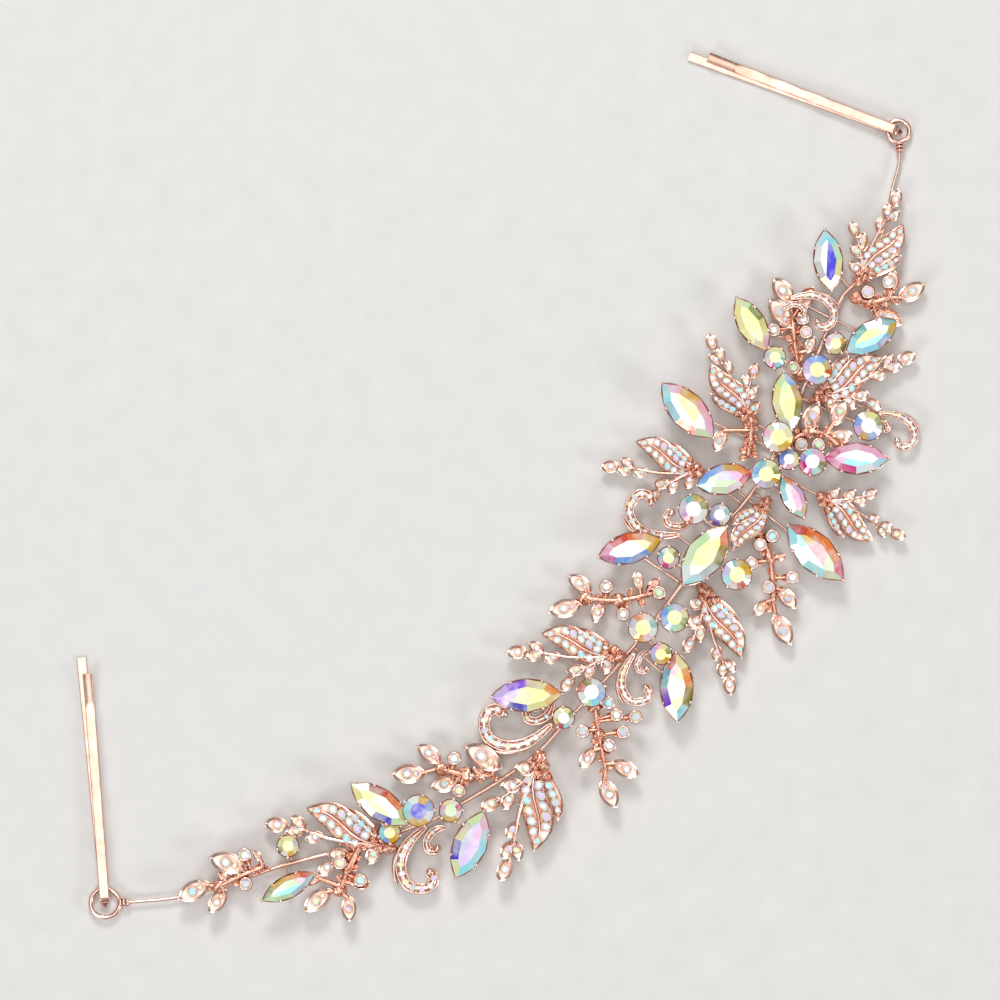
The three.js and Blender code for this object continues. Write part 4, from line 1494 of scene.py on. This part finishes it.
# %% [markdown]
# ## Arms and pegs
# A cup or a casting's root that stands beside the wire is held by a short arm and a peg. They are
# hardly seen from above, but they are what carries the pieces when the vine is seen from its edge.


# %% Make the arms and pegs
wire_points = [Vector(p) for p in left_points + right_points]


def to_wire(spot):
    """How far a place is from the wire, seen from above."""
    return min((point.xy - spot.xy).length for point in wire_points)


def arm_to(centre, base):
    """An arm from the nearest place on the wire, and a peg up to what stands on it."""
    foot = min(wire_points, key=lambda point: (point.xy - centre.xy).length)
    low = WIRE_Z - 0.4 * MM
    return [
        wire(
            "arm",
            [(foot.x, foot.y, WIRE_Z), (foot.x, foot.y, low), (centre.x, centre.y, low)],
            0.26 * MM,
        ),
        wire("peg", [(centre.x, centre.y, low), (centre.x, centre.y, base)], 0.5 * MM),
    ]


supports = {}
for node in frame["nodes"]:
    if "crystal" in node:
        low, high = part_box(node)
        supports.setdefault(body_for(node), []).extend(arm_to((low + high) / 2, low.z))
for x, y, _, layer, _ in SMALL_ROUNDS:
    centre = ORIGIN + Vector((x, y, 0)) * MM
    supports["band"].extend(arm_to(centre, layer_z(layer)))
for x, y, *_, layer in SPRAYS[:-1] + SCROLLS:
    root = ORIGIN + Vector((x, y, 0)) * MM
    supports["band"].extend(arm_to(root, layer_z(layer) + 0.4 * MM))
for sprig in SPRIGS[1:8]:
    foot = min(sprig["stem"], key=lambda spot: to_wire(ORIGIN + Vector((*spot, 0)) * MM))
    supports["band"].extend(
        arm_to(ORIGIN + Vector((*foot, 0)) * MM, layer_z(sprig["layer"]) + 0.4 * MM)
    )
for body, parts in supports.items():
    finish(weld("solder_arms_" + body, parts), WIRE_PLATE, body, "rose_gold_plate")
print("arms on", sorted(supports))

# %% [markdown]
# ## Bobby pins
# A bobby pin is one strip of flat spring wire, folded at the bend. The leg that lies on the scalp
# is straight; the other is crimped into waves that grip the hair, and its tip turns up to let the
# hair in. The strip's section is a rectangle with rounded edges, swept along each leg's side view.

# %% Make the bobby pins
PIN_WIDTH = 2 * MM
PIN_STRIP = 0.45 * MM
PIN_RISE = 2 * WIRE_Z
PIN_BEND_AT = 1 * MM
PIN_WAVE = 0.1 * MM  # half the height of a crimp
PIN_TIP = 6.8 * MM  # length of the upturned tip
PIN_TIP_RISE = 1.2 * MM
CLEAR = 0.3 * MM
# each leg's length from the loop's centre and its heading
PINS = {
    "left": (LEFT_LOOP, (51.2 * MM, 51.4), (47.8 * MM, 50.2)),
    "right": (RIGHT_LOOP, (46.2 * MM, 116), (42.4 * MM, 114.5)),
}


def strip(name, side_view, loop, heading):
    """A flat strip along a side view of (distance, height) points."""
    section = bpy.data.curves.new("section", "CURVE")
    section.dimensions = "2D"
    edge = section.splines.new("POLY")
    half_w, half_t, r = PIN_WIDTH / 2, PIN_STRIP / 2, 0.16 * MM
    outline = []
    for sx, sy, first in ((1, 1, 0), (-1, 1, 90), (-1, -1, 180), (1, -1, 270)):
        for k in range(4):
            angle = math.radians(first + k * 30)
            outline.append(
                (
                    sx * (half_w - r) + r * math.cos(angle),
                    sy * (half_t - r) + r * math.sin(angle),
                )
            )
    edge.points.add(len(outline) - 1)
    for i, (a, b) in enumerate(outline):
        edge.points[i].co = (a, b, 0, 1)
    edge.use_cyclic_u = True
    profile = bpy.data.objects.new("section", section)
    bpy.context.scene.collection.objects.link(profile)
    line = bpy.data.curves.new(name, "CURVE")
    line.dimensions = "3D"
    line.bevel_mode = "OBJECT"
    line.bevel_object = profile
    line.use_fill_caps = True
    line.twist_mode = "Z_UP"
    path = line.splines.new("POLY")
    path.points.add(len(side_view) - 1)
    for i, (s, z) in enumerate(side_view):
        path.points[i].co = (s, 0, z, 1)
    piece = bpy.data.objects.new(name, line)
    bpy.context.scene.collection.objects.link(piece)
    take(piece)
    bpy.ops.object.convert(target="MESH")
    bpy.data.objects.remove(profile)
    piece = named(name)
    put = Matrix.Translation((loop.x, loop.y, 0)) @ heading_matrix(heading)
    piece.data.transform(put)
    soften(piece, 50)
    return piece


def lower_leg(length):
    """The straight leg and the bend, along the middle of the strip."""
    middle, radius = PIN_RISE / 2, PIN_RISE / 2 - PIN_STRIP / 2
    bend = []
    for k in range(13):
        angle = -math.pi / 2 - math.pi * k / 12
        bend.append((PIN_BEND_AT + radius * math.cos(angle), middle + radius * math.sin(angle)))
    return [(length, PIN_STRIP / 2), (length * 0.5, PIN_STRIP / 2), *bend]


def upper_leg(length):
    """The crimped leg, running down to the lower one and turned up at its tip."""
    start, low = PIN_BEND_AT + CLEAR * 0.6, PIN_STRIP + CLEAR * 0.5
    tip = 1 - PIN_TIP / (length - start)
    points = []
    for t in sorted({*(k / 48 for k in range(49) if abs(k / 48 - tip) > 0.015), tip}):
        fall = min(1, t * 1.2)
        height = (PIN_RISE - PIN_STRIP) * (1 - fall) + low * fall
        if 0.3 < t < 0.8:
            height += PIN_WAVE * (1 - math.cos((t - 0.3) / 0.5 * math.pi * 6))
        height += PIN_TIP_RISE * max(0, (t - tip) / (1 - tip))
        points.append((start + (length - start) * t, height + PIN_STRIP / 2))
    return points


for side, (loop, lower, upper) in PINS.items():
    leg = strip(f"{side}_pin_straight_leg", lower_leg(lower[0]), loop, lower[1])
    finish(leg, PIN_PLATE, side + "_pin", "plated_spring_steel", side + "_pin_lower_leg")
    waved = strip(f"{side}_pin_waved_leg", upper_leg(upper[0]), loop, upper[1])
    finish(waved, PIN_PLATE, side + "_pin_leg", "plated_spring_steel", side + "_pin_upper_leg")
print("pins", sorted(PINS))

# %% [markdown]
# ## Clearing the bench
# The patterns have done their work and are removed, so that only finished pieces are left.

# %% Clear up and finish
for pattern in (
    navette,
    round_stone,
    pave_stone,
    ball,
    claw,
    main_leaf,
    side_lobe,
    leaflet,
    sprig_leaf,
    plain_leaf,
    main_metal,
    main_stones,
    lobe_metal,
    lobe_stones,
    knot,
    bead_cup,
):
    bpy.data.objects.remove(pattern)
